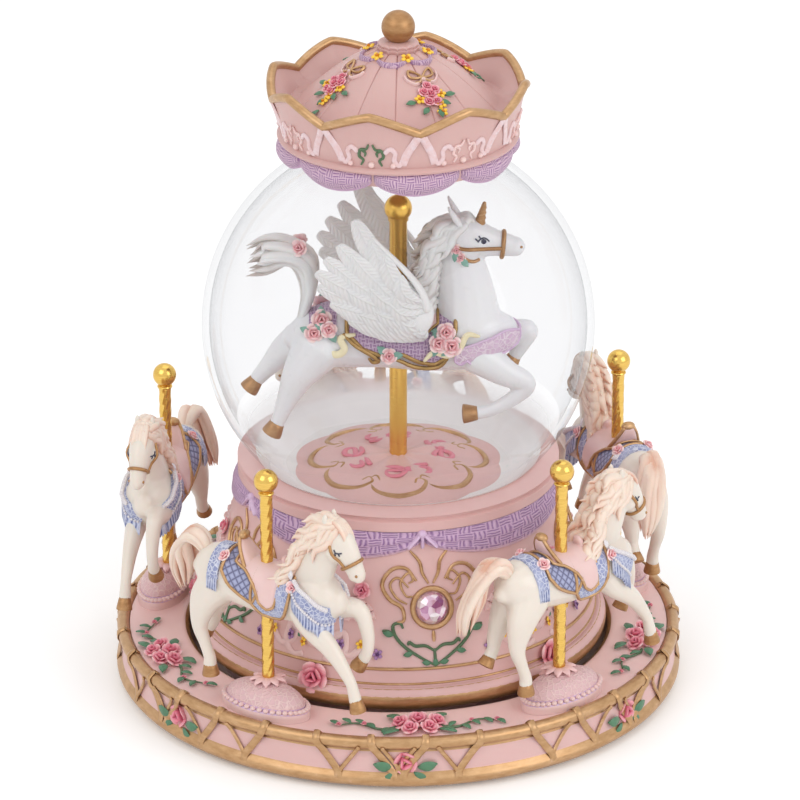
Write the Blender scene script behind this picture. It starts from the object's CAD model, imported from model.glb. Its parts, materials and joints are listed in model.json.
import bmesh
import bpy
import json
import random
import numpy as np
from math import asin, cos, degrees, hypot, pi, radians, sin
from mathutils import Euler, Matrix, Vector
from mathutils.bvhtree import BVHTree


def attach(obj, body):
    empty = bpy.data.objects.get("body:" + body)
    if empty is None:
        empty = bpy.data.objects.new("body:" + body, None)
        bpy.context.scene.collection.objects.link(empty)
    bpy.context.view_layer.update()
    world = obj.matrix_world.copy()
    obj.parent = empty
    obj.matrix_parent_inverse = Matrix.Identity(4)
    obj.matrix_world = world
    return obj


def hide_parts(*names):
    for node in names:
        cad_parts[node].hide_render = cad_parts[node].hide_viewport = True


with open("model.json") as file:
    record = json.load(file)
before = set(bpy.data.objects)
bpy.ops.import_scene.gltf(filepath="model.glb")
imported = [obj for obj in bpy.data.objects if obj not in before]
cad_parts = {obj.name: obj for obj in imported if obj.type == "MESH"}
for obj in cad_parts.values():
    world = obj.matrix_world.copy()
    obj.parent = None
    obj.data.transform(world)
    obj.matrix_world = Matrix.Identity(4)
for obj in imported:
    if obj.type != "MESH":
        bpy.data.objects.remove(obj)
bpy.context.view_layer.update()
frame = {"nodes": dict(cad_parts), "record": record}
nodes = frame["nodes"]
mm = 0.001
fifth = 360 / 5  # most things stand five times round the axis
print("frame loaded:", len(nodes), "CAD nodes")


class Clay:  # gathers the vertices and faces of one piece, in millimetres
    def __init__(self):
        self.points, self.cloth, self.faces, self.finishOf, self.count = [], [], [], [], 0

    def add(self, points, faces, finish=0, cloth=None):
        points = np.asarray(points, float).reshape(-1, 3)
        start = self.count
        self.points.append(points)
        self.cloth.append(np.zeros_like(points) if cloth is None
            else np.asarray(cloth, float).reshape(-1, 3))
        self.faces.extend([tuple(i + start for i in face) for face in faces])
        self.finishOf.extend([finish] * len(faces))
        self.count += len(points)
        return self

    def addMesh(self, mesh, finish=0):  # a mesh in metres
        points, cloth = np.empty(len(mesh.vertices) * 3), np.zeros(len(mesh.vertices) * 3)
        mesh.vertices.foreach_get("co", points)
        if "cloth" in mesh.attributes:
            mesh.attributes["cloth"].data.foreach_get("vector", cloth)
        return self.add(points / mm, [tuple(p.vertices) for p in mesh.polygons], finish, cloth)

    def strew(self, shape, spots, finish, slot):  # copies of a shape
        return self.addMesh(copies(shape, spots, finish), slot)

    def lay(self, lines, finish, sides, slot):  # pipes along lines
        return self.addMesh(pipes(lines, finish, sides), slot)

    def addClay(self, other, turn=None, shift=(0, 0, 0)):
        points, cloth = np.concatenate(other.points), np.concatenate(other.cloth)
        points = points @ np.array(turn).T if turn is not None else points
        start = self.count
        self.add(points + np.array(shift), [], 0, cloth)
        self.faces.extend([tuple(i + start for i in face) for face in other.faces])
        self.finishOf.extend(other.finishOf)
        return self

    def mesh(self, name, finishes=(), weld=False):
        made = bpy.data.meshes.new(name)
        made.from_pydata((np.concatenate(self.points) * mm).tolist(), [], self.faces)
        for finish in finishes:
            made.materials.append(finish)
        made.polygons.foreach_set("material_index", self.finishOf)
        sewn = made.attributes.new("cloth", "FLOAT_VECTOR", "POINT")
        sewn.data.foreach_set("vector", np.concatenate(self.cloth).astype(np.float32).ravel())
        if weld:
            shape = bmesh.new()
            shape.from_mesh(made)
            bmesh.ops.remove_doubles(shape, verts=shape.verts, dist=2e-6)
            bmesh.ops.dissolve_degenerate(shape, edges=shape.edges, dist=1e-6)
            bmesh.ops.recalc_face_normals(shape, faces=shape.faces)
            shape.to_mesh(made)
            shape.free()
        made.update()
        return made


def hollows(mesh):  # stores how far each point lies in a hollow, for the paint to settle in
    n = len(mesh.vertices)
    points, normals = np.empty(n * 3), np.empty(n * 3)
    ends = np.empty(len(mesh.edges) * 2, int)
    mesh.vertices.foreach_get("co", points)
    mesh.vertices.foreach_get("normal", normals)
    mesh.edges.foreach_get("vertices", ends)
    points, normals = points.reshape(-1, 3), normals.reshape(-1, 3)
    a, b = np.concatenate([ends[0::2], ends[1::2]]), np.concatenate([ends[1::2], ends[0::2]])
    value = np.sum(unit(points[b] - points[a]) * normals[a], axis=1)
    tally = np.maximum(np.bincount(a, minlength=n), 1)
    hollow = np.bincount(a, value, n) / tally
    for again in range(2):
        hollow = 0.4 * hollow + 0.6 * np.bincount(a, hollow[b], n) / tally
    mesh.attributes.new("hollow", "FLOAT", "POINT").data.foreach_set("value", hollow.astype(np.float32))


def piece(name, clay, wear, body, stands=(), sharp=40):  # wear names the finishes of the clay's slots
    mesh = clay.mesh(name, [finishes[w] for w in wear], weld=True)
    thing = bpy.data.objects.new(name, mesh)
    bpy.context.scene.collection.objects.link(thing)
    mesh.shade_smooth()
    mesh.set_sharp_from_angle(angle=radians(sharp))
    hollows(mesh)
    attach(thing, body)
    if stands:
        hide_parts(*stands)
    return thing


def spline(points, count):  # a smooth line through the points, with any number of columns
    p = np.asarray(points, float)
    n = len(p)
    t = np.linspace(0, n - 1, count)
    i = np.clip(t.astype(int), 0, n - 2)
    f = (t - i)[:, None]
    padded = np.vstack([2 * p[0] - p[1], p, 2 * p[-1] - p[-2]])
    a, b, c, d = padded[i], padded[i + 1], padded[i + 2], padded[i + 3]
    return 0.5 * (2 * b + (c - a) * f + (2 * a - 5 * b + 4 * c - d) * f ** 2 + (3 * b - a - 3 * c + d)
        * f ** 3)


def vec(*numbers):
    return np.array(numbers)


def unit(v):
    v = np.asarray(v, float)
    return v / np.maximum(np.linalg.norm(v, axis=-1, keepdims=True), 1e-9)


def broadside(line, out):  # across the line, square to out
    return np.cross(unit(np.gradient(line, axis=0)), out)


def fullTurn(count):
    return np.linspace(0, 2 * pi, count, endpoint=False)


def roundAxis(radius, angle, height):
    return np.stack([radius * np.sin(angle), -radius * np.cos(angle), height], -1)


def gridFaces(rows, columns, closeRows=False, closeColumns=False):
    faces = []
    for i in range(rows if closeRows else rows - 1):
        for j in range(columns if closeColumns else columns - 1):
            k, m = (i + 1) % rows, (j + 1) % columns
            faces.append((i * columns + j, i * columns + m, k * columns + m, k * columns + j))
    return faces


def tube(path, wide, deep=None, sides=10, across=None, roundEnd=0.7):  # a closed tube with rounded ends
    path = np.asarray(path, float)
    n = len(path)
    wide = np.array(np.broadcast_to(wide, n), float)
    deep = wide.copy() if deep is None else np.array(np.broadcast_to(deep, n), float)
    along = unit(np.gradient(path, axis=0))
    if across is None:  # carry the first side direction along the path
        side = unit(np.cross(along[0], (0, 0, 1) if abs(along[0][2]) < 0.9 else (1, 0, 0)))
        sidesAt = []
        for k in range(n):
            side = unit(side - along[k] * np.dot(side, along[k]))
            sidesAt.append(side)
        a = np.array(sidesAt)
    else:
        ref = np.broadcast_to(np.asarray(across, float), (n, 3))
        a = unit(ref - along * np.sum(ref * along, axis=1, keepdims=True))
    b = np.cross(along, a)

    def cap(k, way, grow, lift):
        centre = path[k] + along[k] * way * roundEnd * min(wide[k], deep[k]) * lift
        return centre, a[k], b[k], wide[k] * grow, deep[k] * grow

    rows = [cap(0, -1, 0.45, 0.9), cap(0, -1, 0.8, 0.55)]
    rows += [(path[k], a[k], b[k], wide[k], deep[k]) for k in range(n)]
    rows += [cap(n - 1, 1, 0.8, 0.55), cap(n - 1, 1, 0.45, 0.9)]
    turn = fullTurn(sides)
    points = np.concatenate([c + np.outer(np.cos(turn), u) * w + np.outer(np.sin(turn), v) * d
        for c, u, v, w, d in rows])
    faces = gridFaces(len(rows), sides, closeColumns=True)
    low = path[0] - along[0] * roundEnd * min(wide[0], deep[0])
    high = path[-1] + along[-1] * roundEnd * min(wide[-1], deep[-1])
    points = np.vstack([points, low, high])
    last, total = len(rows) - 1, len(rows) * sides
    faces += [(total, (j + 1) % sides, j) for j in range(sides)]
    faces += [(total + 1, last * sides + j, last * sides + (j + 1) % sides) for j in range(sides)]
    return points, faces


def strip(clay, line, wide, thick, out, finish):  # a ribbon that lies flat, facing out
    clay.add(*tube(line, wide, thick, 8, across=broadside(line, out)), finish)


def limb(stations, count=None, sides=16):  # x, y, z, half width across y, half depth
    line = spline(stations, count or 5 * len(stations))
    return tube(line[:, :3], np.maximum(line[:, 3], 0.15), np.maximum(line[:, 4], 0.15), sides,
        across=(0, 1, 0))


def ball(centre, radii, rows=10, columns=14):
    points = [(0, 0, -1)]
    for i in range(1, rows):
        lat = pi * i / rows - pi / 2
        points += [(cos(lat) * cos(a), cos(lat) * sin(a), sin(lat))
                   for a in fullTurn(columns)]
    points.append((0, 0, 1))
    faces = [tuple(k + 1 for k in f) for f in gridFaces(rows - 1, columns, closeColumns=True)]
    last = len(points) - 1
    faces += [(0, (j + 1) % columns + 1, j + 1) for j in range(columns)]
    base = 1 + (rows - 2) * columns
    faces += [(last, base + j, base + (j + 1) % columns) for j in range(columns)]
    return np.array(points) * np.broadcast_to(radii, 3) + np.array(centre), faces


# (radius, height, finish) round Z; push moves points by angle
def lathe(clay, outline, steps=192, push=None):
    turn = fullTurn(steps)
    ring = np.array([(o[0], o[1]) for o in outline], float)
    n = len(ring)
    radius, height = np.tile(ring[:, 0], (steps, 1)), np.tile(ring[:, 1], (steps, 1))
    angle = np.tile(turn[:, None], (1, n))
    tone = np.zeros_like(radius)
    if push:
        radius, height, tone = push(radius, height, angle)
    points = roundAxis(radius, angle, height).reshape(-1, 3)
    cloth = np.stack([angle, height, tone], -1).reshape(-1, 3)
    start = clay.count
    clay.add(points, [], 0, cloth)
    for i in range(steps):
        for j in range(n):
            k, m = (i + 1) % steps, (j + 1) % n
            clay.faces.append(tuple(start + x for x in (i * n + j, k * n + j, k * n + m, i * n + m)))
            clay.finishOf.append(outline[j][2])
    return clay


def moulded(clay, voxel, soften):  # melts overlapping forms into one skin
    shape = bpy.data.objects.new("moulding", clay.mesh("moulding"))
    bpy.context.scene.collection.objects.link(shape)
    melt = shape.modifiers.new("melt", "REMESH")
    melt.mode = "VOXEL"
    melt.voxel_size = voxel * mm
    calm = shape.modifiers.new("calm", "SMOOTH")
    calm.factor, calm.iterations = 0.5, soften
    made = bpy.data.meshes.new_from_object(shape.evaluated_get(bpy.context.evaluated_depsgraph_get()))
    bpy.data.objects.remove(shape)
    return made


def place(phi, radius, z):  # a point round the axis: phi in degrees from the front, positive to the right
    a = radians(phi)
    return vec(radius * sin(a), -radius * cos(a), z)


def facing(out, up=(0, 0, 1)):  # Euler turn that points local Z along out and local Y towards up
    z = Vector(out).normalized()
    x = Vector(up).cross(z)
    x = x.normalized() if x.length > 1e-4 else Vector((1, 0, 0))
    return Matrix((x, z.cross(x), z)).transposed().to_euler()


def spunOn(out, spin, up=(0, 0, 1)):  # the same, then turned about its own Z by spin degrees
    turn = facing(out, up).to_matrix() @ Matrix.Rotation(radians(spin), 3, "Z")
    return turn.to_euler()


# Geometry Nodes: copies of a shape on points, pipes along lines, and a twisted rod

def newTree(name, inputs):
    tree = bpy.data.node_groups.new(name, "GeometryNodeTree")
    tree.is_modifier = True
    tree.interface.new_socket(name="Geometry", in_out="INPUT", socket_type="NodeSocketGeometry")
    for label, kind in inputs:
        tree.interface.new_socket(name=label, in_out="INPUT", socket_type="NodeSocket" + kind)
    tree.interface.new_socket(name="Geometry", in_out="OUTPUT", socket_type="NodeSocketGeometry")
    entry, leave = tree.nodes.new("NodeGroupInput"), tree.nodes.new("NodeGroupOutput")

    def add(kind, settings=None, sockets=None):
        made = tree.nodes.new(kind)
        for key, value in (settings or {}).items():
            setattr(made, key, value)
        for key, value in (sockets or {}).items():
            if isinstance(value, bpy.types.NodeSocket):
                tree.links.new(value, made.inputs[key])
            else:
                made.inputs[key].default_value = value
        return made

    def close(geometry):
        realised = add("GeometryNodeRealizeInstances", None, {0: geometry})
        painted = add("GeometryNodeSetMaterial", None,
            {"Geometry": realised.outputs[0], "Material": entry.outputs["Finish"]})
        tree.links.new(painted.outputs[0], leave.inputs[0])
        return tree

    return entry, add, close


def copiesTree():
    entry, add, close = newTree("copiesOnPoints", [("Shape", "Object"), ("Finish", "Material")])
    shape = add("GeometryNodeObjectInfo", {"transform_space": "ORIGINAL"},
        {"Object": entry.outputs["Shape"]})
    turn = add("GeometryNodeInputNamedAttribute", {"data_type": "FLOAT_VECTOR"}, {"Name": "turn"})
    size = add("GeometryNodeInputNamedAttribute", {"data_type": "FLOAT_VECTOR"}, {"Name": "size"})
    spin = add("FunctionNodeEulerToRotation", None, {0: turn.outputs[0]})
    spread = add("GeometryNodeInstanceOnPoints", None, {
        "Points": entry.outputs["Geometry"], "Instance": shape.outputs["Geometry"],
        "Rotation": spin.outputs[0], "Scale": size.outputs[0]})
    return close(spread.outputs[0])


def pipeTree():
    entry, add, close = newTree("pipesOnLines", [("Sides", "Int"), ("Finish", "Material")])
    line = add("GeometryNodeMeshToCurve", None, {0: entry.outputs["Geometry"]})
    thick = add("GeometryNodeInputNamedAttribute", {"data_type": "FLOAT"}, {"Name": "thick"})
    ring = add("GeometryNodeCurvePrimitiveCircle", None,
        {"Resolution": entry.outputs["Sides"], "Radius": 1.0})
    pipe = add("GeometryNodeCurveToMesh", None, {"Curve": line.outputs[0], "Profile Curve": ring.outputs[0],
        "Scale": thick.outputs[0], "Fill Caps": True})
    return close(pipe.outputs[0])


def twistTree():
    entry, add, close = newTree("twistedRod", [("Length", "Float"), ("Radius", "Float"), ("Turns", "Float"),
        ("Strands", "Int"), ("Groove", "Float"), ("Finish", "Material")])

    def times(first, second):
        return add("ShaderNodeMath", {"operation": "MULTIPLY"}, {0: first, 1: second}).outputs[0]

    top = add("ShaderNodeCombineXYZ", None, {"Z": entry.outputs["Length"]})
    line = add("GeometryNodeCurvePrimitiveLine", None, {"End": top.outputs[0]})
    fine = add("GeometryNodeResampleCurve", None, {"Curve": line.outputs[0], "Count": 110})
    share = add("GeometryNodeSplineParameter")
    tilt = times(share.outputs["Factor"], times(entry.outputs["Turns"], 2 * pi))
    wound = add("GeometryNodeSetCurveTilt", None, {"Curve": fine.outputs[0], "Tilt": tilt})
    ring = add("GeometryNodeCurvePrimitiveCircle", None, {"Resolution": 36, "Radius": 1.0})
    around = add("GeometryNodeSplineParameter")
    angle = times(around.outputs["Factor"], times(entry.outputs["Strands"], 2 * pi))
    wave = add("ShaderNodeMath", {"operation": "COSINE"}, {0: angle})
    inset = add("ShaderNodeMath", {"operation": "MULTIPLY_ADD"},
        {0: wave.outputs[0], 1: entry.outputs["Groove"], 2: 1.0})
    lift = add("ShaderNodeMath", {"operation": "SUBTRACT"},
        {0: inset.outputs[0], 1: entry.outputs["Groove"]})
    spot = add("GeometryNodeInputPosition")
    scaled = add("ShaderNodeVectorMath", {"operation": "SCALE"},
        {0: spot.outputs[0], "Scale": times(lift.outputs[0], entry.outputs["Radius"])})
    shaped = add("GeometryNodeSetPosition", None,
        {"Geometry": ring.outputs[0], "Position": scaled.outputs[0]})
    rod = add("GeometryNodeCurveToMesh", None, {
        "Curve": wound.outputs[0], "Profile Curve": shaped.outputs[0], "Fill Caps": True})
    return close(rod.outputs[0])


trees = {"copies": copiesTree(), "pipes": pipeTree(), "twist": twistTree()}


def grown(tree, source, values):  # the tree's result on a source mesh, as a plain mesh
    holder = bpy.data.objects.new("grown", source)
    bpy.context.scene.collection.objects.link(holder)
    change = holder.modifiers.new("grow", "NODES")
    change.node_group = trees[tree]
    for item in trees[tree].interface.items_tree:
        if item.in_out == "INPUT" and item.name in values:
            change[item.identifier] = values[item.name]
    made = bpy.data.meshes.new_from_object(holder.evaluated_get(bpy.context.evaluated_depsgraph_get()))
    holder.modifiers.remove(change)
    bpy.data.objects.remove(holder)
    return made


def copies(shape, spots, finish):  # spots are (place, Euler turn, size) in millimetres
    points = bpy.data.meshes.new("spots")
    points.from_pydata([tuple(np.asarray(s[0]) * mm) for s in spots], [], [])
    turn = points.attributes.new("turn", "FLOAT_VECTOR", "POINT")
    turn.data.foreach_set("vector", np.array([tuple(s[1]) for s in spots], np.float32).ravel())
    size = points.attributes.new("size", "FLOAT_VECTOR", "POINT")
    size.data.foreach_set("vector", np.array([np.broadcast_to(s[2], 3) for s in spots], np.float32).ravel())
    model = bpy.data.objects.new("model", shape.mesh("model", weld=True))
    bpy.context.scene.collection.objects.link(model)
    made = grown("copies", points, {"Shape": model, "Finish": finishes[finish]})
    bpy.data.objects.remove(model)
    return made


def pipes(lines, finish, sides=8):  # lines are (points, thickness or thicknesses, closed)
    points, edges, thick, start = [], [], [], 0
    for path, size, closed in lines:
        n = len(path)
        points += [tuple(np.asarray(p) * mm) for p in path]
        thick += list(np.broadcast_to(size, n) * mm)
        edges += [(start + k, start + k + 1) for k in range(n - 1)] + ([(start + n - 1, start)] if closed
            else [])
        start += n
    source = bpy.data.meshes.new("lines")
    source.from_pydata(points, edges, [])
    source.attributes.new("thick", "FLOAT", "POINT").data.foreach_set("value", np.array(thick, np.float32))
    return grown("pipes", source, {"Sides": sides, "Finish": finishes[finish]})


def tapered(path, size, count=24, ends=0.35):  # a smooth line that thins towards its ends, for pipes
    line = spline(path, count)
    t = np.linspace(0, 1, count)
    return line, size * (ends + (1 - ends) * np.sin(pi * np.clip(t, 0.02, 0.98)) ** 0.6), False


class Value:  # a shader socket that can stand in a sum
    def __init__(self, shop, socket):
        self.shop, self.socket = shop, socket

    def reckon(self, way, first, second):
        return self.shop.maths(way, first, second)

    def __add__(self, other):
        return self.reckon("ADD", self, other)

    def __radd__(self, other):
        return self.reckon("ADD", other, self)

    def __sub__(self, other):
        return self.reckon("SUBTRACT", self, other)

    def __rsub__(self, other):
        return self.reckon("SUBTRACT", other, self)

    def __mul__(self, other):
        return self.reckon("MULTIPLY", self, other)

    def __rmul__(self, other):
        return self.reckon("MULTIPLY", other, self)

    def __truediv__(self, other):
        return self.reckon("DIVIDE", self, other)

    def __rtruediv__(self, other):
        return self.reckon("DIVIDE", other, self)


class Shop:  # the shader nodes of one finish
    def __init__(self, name, constants, surround=None):  # or of the world
        self.material = surround or bpy.data.materials.new(name)
        self.material.use_nodes = True
        self.tree = self.material.node_tree
        self.skin = self.tree.nodes["Background" if surround else "Principled BSDF"]
        self.set(constants)

    def feed(self, socket, value):
        if isinstance(value, Value):
            self.tree.links.new(value.socket, socket)
        elif socket.type == "RGBA":
            socket.default_value = (*value, 1.0)
        else:
            socket.default_value = value

    def set(self, sockets):
        for label, value in sockets.items():
            self.feed(self.skin.inputs[label], value)

    def node(self, kind, settings=None, sockets=None, out=0):
        made = self.tree.nodes.new(kind)
        for key, value in (settings or {}).items():
            if key == "stops":
                stops = made.color_ramp.elements
                while len(stops) < len(value):
                    stops.new(1.0)
                for stop, (spot, colour) in zip(stops, value):
                    stop.position, stop.color = spot, (*colour, 1.0)
            else:
                setattr(made, key, value)
        for key, value in (sockets or {}).items():
            self.feed(made.inputs[key], value)
        return Value(self, made.outputs[out])

    def spot(self):
        return self.node("ShaderNodeTexCoord", None, None, "Object")

    def noise(self, grain, detail=3.0, where=None, rough=0.55):
        return self.node("ShaderNodeTexNoise", None, {
            "Vector": where or self.spot(), "Scale": grain, "Detail": detail, "Roughness": rough}, "Fac")

    def own(self, name, part=None):  # a value stored on the mesh
        read = self.node("ShaderNodeAttribute", {"attribute_name": name}, None, "Fac" if part is None
            else "Vector")
        return read if part is None else self.node("ShaderNodeSeparateXYZ", None, {0: read}, part)

    def span(self, value, low, high, start=0.0, end=1.0):
        return self.node("ShaderNodeMapRange", {"clamp": True}, {
            "Value": value, "From Min": low, "From Max": high, "To Min": start, "To Max": end})

    def mix(self, share, first, second):
        return self.node("ShaderNodeMix", {"data_type": "RGBA"}, {0: share, 6: first, 7: second}, 2)

    def maths(self, way, *values):
        return self.node("ShaderNodeMath", {"operation": way}, dict(enumerate(values)))

    def wave(self, value):
        return self.maths("SINE", value)

    def seen(self):  # one where the camera looks, straight or by way of metal or glass
        rays = [self.node("ShaderNodeLightPath", None, None, f"Is {kind} Ray")
            for kind in ("Camera", "Glossy", "Transmission")]
        return rays[0] + rays[1] + rays[2]

    def bump(self, height, strength, distance=0.0002):
        return self.node("ShaderNodeBump", None,
            {"Height": height, "Strength": strength, "Distance": distance})


# cast resin under paint: mottled, darker in hollows, paler on ridges, finely grained
def painted(name, **look):
    shop = Shop(name, {"Coat Roughness": 0.25,
                       "Subsurface Weight": look.get("glow", 0.0), "Subsurface Scale": 0.002})
    hollow = shop.own("hollow")
    broad, fine = shop.noise(look.get("broad", 90)), shop.noise(900, 4.0)
    blot = shop.span(broad, 0.35, 0.7)
    body = shop.mix(blot * look.get("mottle", 0.5), look["colour"], look["second"])
    deep = shop.span(hollow, 0.04, 0.35, 0.0, look.get("wash", 0.8))
    body = shop.mix(deep, body, look["dark"])
    worn = shop.span(0 - hollow + fine * 0.12, 0.16, 0.5, 0.0, look.get("wear", 0.25))
    body = shop.mix(worn, body, look.get("light", look["colour"]))
    shop.set({"Base Color": body, "Roughness": look["rough"] + (fine - 0.5) * 0.22 + deep * 0.12,
        "Coat Weight": shop.span(broad, 0.3, 0.75, look.get("coat", 0.0), look.get("coat", 0.0) * 0.6),
        "Normal": shop.bump(fine + broad * 0.6, look.get("grain", 0.12))})
    return shop.material


def gilded(name, **look):  # gold paint dragged with a brush, thin on some ridges and brown in the hollows
    shop = Shop(name, {"Coat Roughness": 0.3})
    hollow = shop.own("hollow")
    drag = shop.node("ShaderNodeMapping", None, {"Vector": shop.spot(), "Scale": (1.0, 1.0, 3.2)})
    streak, fine = shop.noise(look["streaks"], 4.0, drag, 0.65), shop.noise(1400, 3.0)
    body = shop.mix(shop.span(streak, 0.32, 0.68), look["colour"], look["second"])
    deep = shop.span(hollow, 0.03, 0.32, 0.0, 0.85)
    body = shop.mix(deep, body, look["dark"])
    worn = shop.span(fine + streak - hollow * 0.5, 1.2, 1.5, 0.0, 0.3)
    body = shop.mix(worn, body, look["under"])
    shop.set({"Base Color": body, "Metallic": (1 - worn) * (1 - deep * 0.5) * look["metal"],
              "Roughness": look["rough"] + (streak - 0.5) * 0.3 + deep * 0.15,
              "Normal": shop.bump(streak + fine * 0.5, 0.25)})
    return shop.material


# basket-weave cloth: bands that pass over and under each other, from the cloth coordinates
def woven(name, **look):
    shop = Shop(name, {"Sheen Weight": 0.15})
    along, up, fold = shop.own("cloth", "X"), shop.own("cloth", "Y"), shop.own("cloth", "Z")
    stray = (shop.noise(170) - 0.5) * look.get("stray", 3.4)
    first, second = along * look["across"] + stray, up * look["updown"] + stray * 0.7
    over = shop.span(shop.wave(first) * shop.wave(second), -0.15, 0.15)
    warp, weft = shop.wave(first * look.get("ply", 1.0)), shop.wave(second * look.get("ply", 1.0))
    thread = over * (1 - warp * warp) + (1 - over) * (1 - weft * weft)
    fine = shop.noise(1100, 3.0)
    body = shop.mix(shop.span(thread, 0.05, 0.7), look["gap"], look["colour"])
    body = shop.mix(shop.span(fold + (fine - 0.5) * 0.3, 0.45, 0.95), body, look["edge"])
    body = shop.mix(shop.span(fine, 0.5, 0.8, 0.0, 0.35), body, look["second"])
    shop.set({"Base Color": body, "Roughness": 0.62 + (fine - 0.5) * 0.2,
              "Normal": shop.bump(thread + fine * 0.25, 0.5, 0.0004)})
    return shop.material


def petalled(name, **look):  # petals that pale from the heart of the flower to their rims
    shop = Shop(name, {"Subsurface Weight": 0.1, "Subsurface Scale": 0.001})
    heart, fine = shop.own("cloth", "Z"), shop.noise(1300, 3.0)
    hollow = shop.own("hollow")
    body = shop.node("ShaderNodeValToRGB", {"stops": look["stops"]}, {0: heart + (fine - 0.5) * 0.25})
    body = shop.mix(shop.span(hollow, 0.05, 0.4, 0.0, 0.6), body, look["dark"])
    shop.set({"Base Color": body, "Roughness": 0.5 + (fine - 0.5) * 0.2,
              "Normal": shop.bump(fine, 0.15)})
    return shop.material


def quilted(name, **look):  # diamond quilting with a stitched dimple at each crossing
    shop = Shop(name, {"Sheen Weight": 0.1})
    along, up = shop.own("cloth", "X"), shop.own("cloth", "Y")
    first = shop.maths("PINGPONG", (along + up) / look["pitch"], 0.5)
    second = shop.maths("PINGPONG", (along - up) / look["pitch"], 0.5)
    puff = shop.maths("MINIMUM", first, second)
    fine = shop.noise(1000, 3.0)
    body = shop.mix(shop.span(puff, 0.02, 0.2), look["seam"], look["colour"])
    body = shop.mix(shop.span(puff + fine * 0.2, 0.3, 0.6, 0.0, 0.7), body, look["second"])
    shop.set({"Base Color": body, "Roughness": 0.55 + (fine - 0.5) * 0.2,
              "Normal": shop.bump(puff * 2 + fine * 0.1, 0.6, 0.0004)})
    return shop.material


def laced(name, **look):  # openwork lace: little rings and net threads
    shop = Shop(name, {"Sheen Weight": 0.1})
    cells = shop.node("ShaderNodeTexVoronoi", {"feature": "DISTANCE_TO_EDGE"}, {
        "Vector": shop.spot(), "Scale": look["cells"]}, "Distance")
    fine, broad = shop.noise(1500, 3.0), shop.noise(250)
    thread = shop.span(cells, 0.03, 0.13)
    body = shop.mix(thread, look["thread"], look["colour"])
    body = shop.mix(shop.span(broad, 0.45, 0.65, 0.0, 0.6), body, look["second"])
    body = shop.mix(shop.span(shop.own("hollow"), 0.04, 0.35, 0.0, 0.6), body, look["dark"])
    shop.set({"Base Color": body, "Roughness": 0.6 + (fine - 0.5) * 0.2,
              "Normal": shop.bump((1 - thread) + fine * 0.2, 0.5, 0.0003)})
    return shop.material


def haired(name, **look):  # moulded locks, tinted where they turn under
    shop = Shop(name, {"Coat Weight": 0.12, "Coat Roughness": 0.3, "Subsurface Weight": 0.08,
        "Subsurface Scale": 0.001})
    turned, broad, fine = shop.own("cloth", "Z"), shop.noise(230), shop.noise(1200, 3.0)
    body = shop.mix(shop.span(turned + (broad - 0.5) * 0.9, -0.5, 0.8), look["under"], look["colour"])
    body = shop.mix(shop.span(broad, 0.48, 0.72, 0.0, 0.55), body, look["second"])
    shop.set({"Base Color": body, "Roughness": 0.42 + (fine - 0.5) * 0.2,
        "Normal": shop.bump(fine + broad, 0.12)})
    return shop.material


def fringed(name, **look):  # threads that hang side by side, with dark gaps
    shop = Shop(name, {"Sheen Weight": 0.15})
    along, fine = shop.own("cloth", "X"), shop.noise(900, 3.0)
    thread = shop.wave(along * look["threads"] + (shop.noise(260) - 0.5) * 5.0)
    body = shop.mix(shop.span(thread, -0.75, 0.25), look["gap"], look["colour"])
    body = shop.mix(shop.span(fine, 0.45, 0.7, 0.0, 0.6), body, look["second"])
    shop.set({"Base Color": body, "Roughness": 0.6 + (fine - 0.5) * 0.2,
        "Normal": shop.bump(thread + fine * 0.4, 0.5, 0.0003)})
    return shop.material


def feathered(name, **look):  # barbs slanting off a raised shaft
    shop = Shop(name, {"Coat Weight": 0.35, "Coat Roughness": 0.2, "Subsurface Weight": 0.05,
        "Subsurface Scale": 0.001})
    side, along, fine = shop.own("cloth", "X"), shop.own("cloth", "Y"), shop.noise(900)
    slant = shop.maths("ABSOLUTE", side)
    barb = shop.wave((along + slant * 1.6) * 4.6 + fine * 2.0)
    shaft = shop.span(slant, 0.0, 0.22, 1.0, 0.0)
    body = shop.mix(shop.span(shop.own("hollow"), 0.03, 0.3, 0.0, 0.7), look["colour"], look["dark"])
    body = shop.mix(shop.span(barb + fine, 0.9, 1.7, 0.0, 0.35), body, look["light"])
    shop.set({"Base Color": body, "Roughness": 0.32 + (fine - 0.5) * 0.15,
              "Normal": shop.bump(barb * 0.5 + shaft * 1.5, 0.4, 0.0004)})
    return shop.material


def brushed(name, **look):  # bare or plated metal with fine turning marks
    shop = Shop(name, {"Metallic": 1.0})
    drag = shop.node("ShaderNodeMapping", None, {"Vector": shop.spot(), "Scale": (1.0, 1.0, 12.0)})
    mark, broad = shop.noise(420, 4.0, drag), shop.noise(120)
    body = shop.mix(shop.span(mark, 0.3, 0.7, 0.0, 0.6), look["colour"], look["second"])
    body = shop.mix(shop.span(shop.own("hollow"), 0.03, 0.3, 0.0, 0.7), body, look["dark"])
    shop.set({"Base Color": body, "Roughness": look["rough"] + (mark - 0.5) * 0.16 + (broad - 0.5) * 0.08,
              "Normal": shop.bump(mark, 0.08, 0.0001)})
    return shop.material


def crystal(name, **look):  # cut stone: bright facets of a few tones over a tinted body
    shop = Shop(name, {"IOR": 1.7, "Coat Weight": 1.0, "Coat Roughness": 0.02, "Metallic": 0.35})
    facet = shop.node("ShaderNodeTexVoronoi", None, {"Vector": shop.spot(), "Scale": look["facets"]},
        "Color")
    pick = shop.node("ShaderNodeSeparateColor", None, {0: facet}, 0)
    body = shop.node("ShaderNodeValToRGB", {"stops": look["stops"]}, {0: pick})
    shop.set({"Base Color": body, "Roughness": 0.08 + pick * 0.08})
    return shop.material


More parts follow.
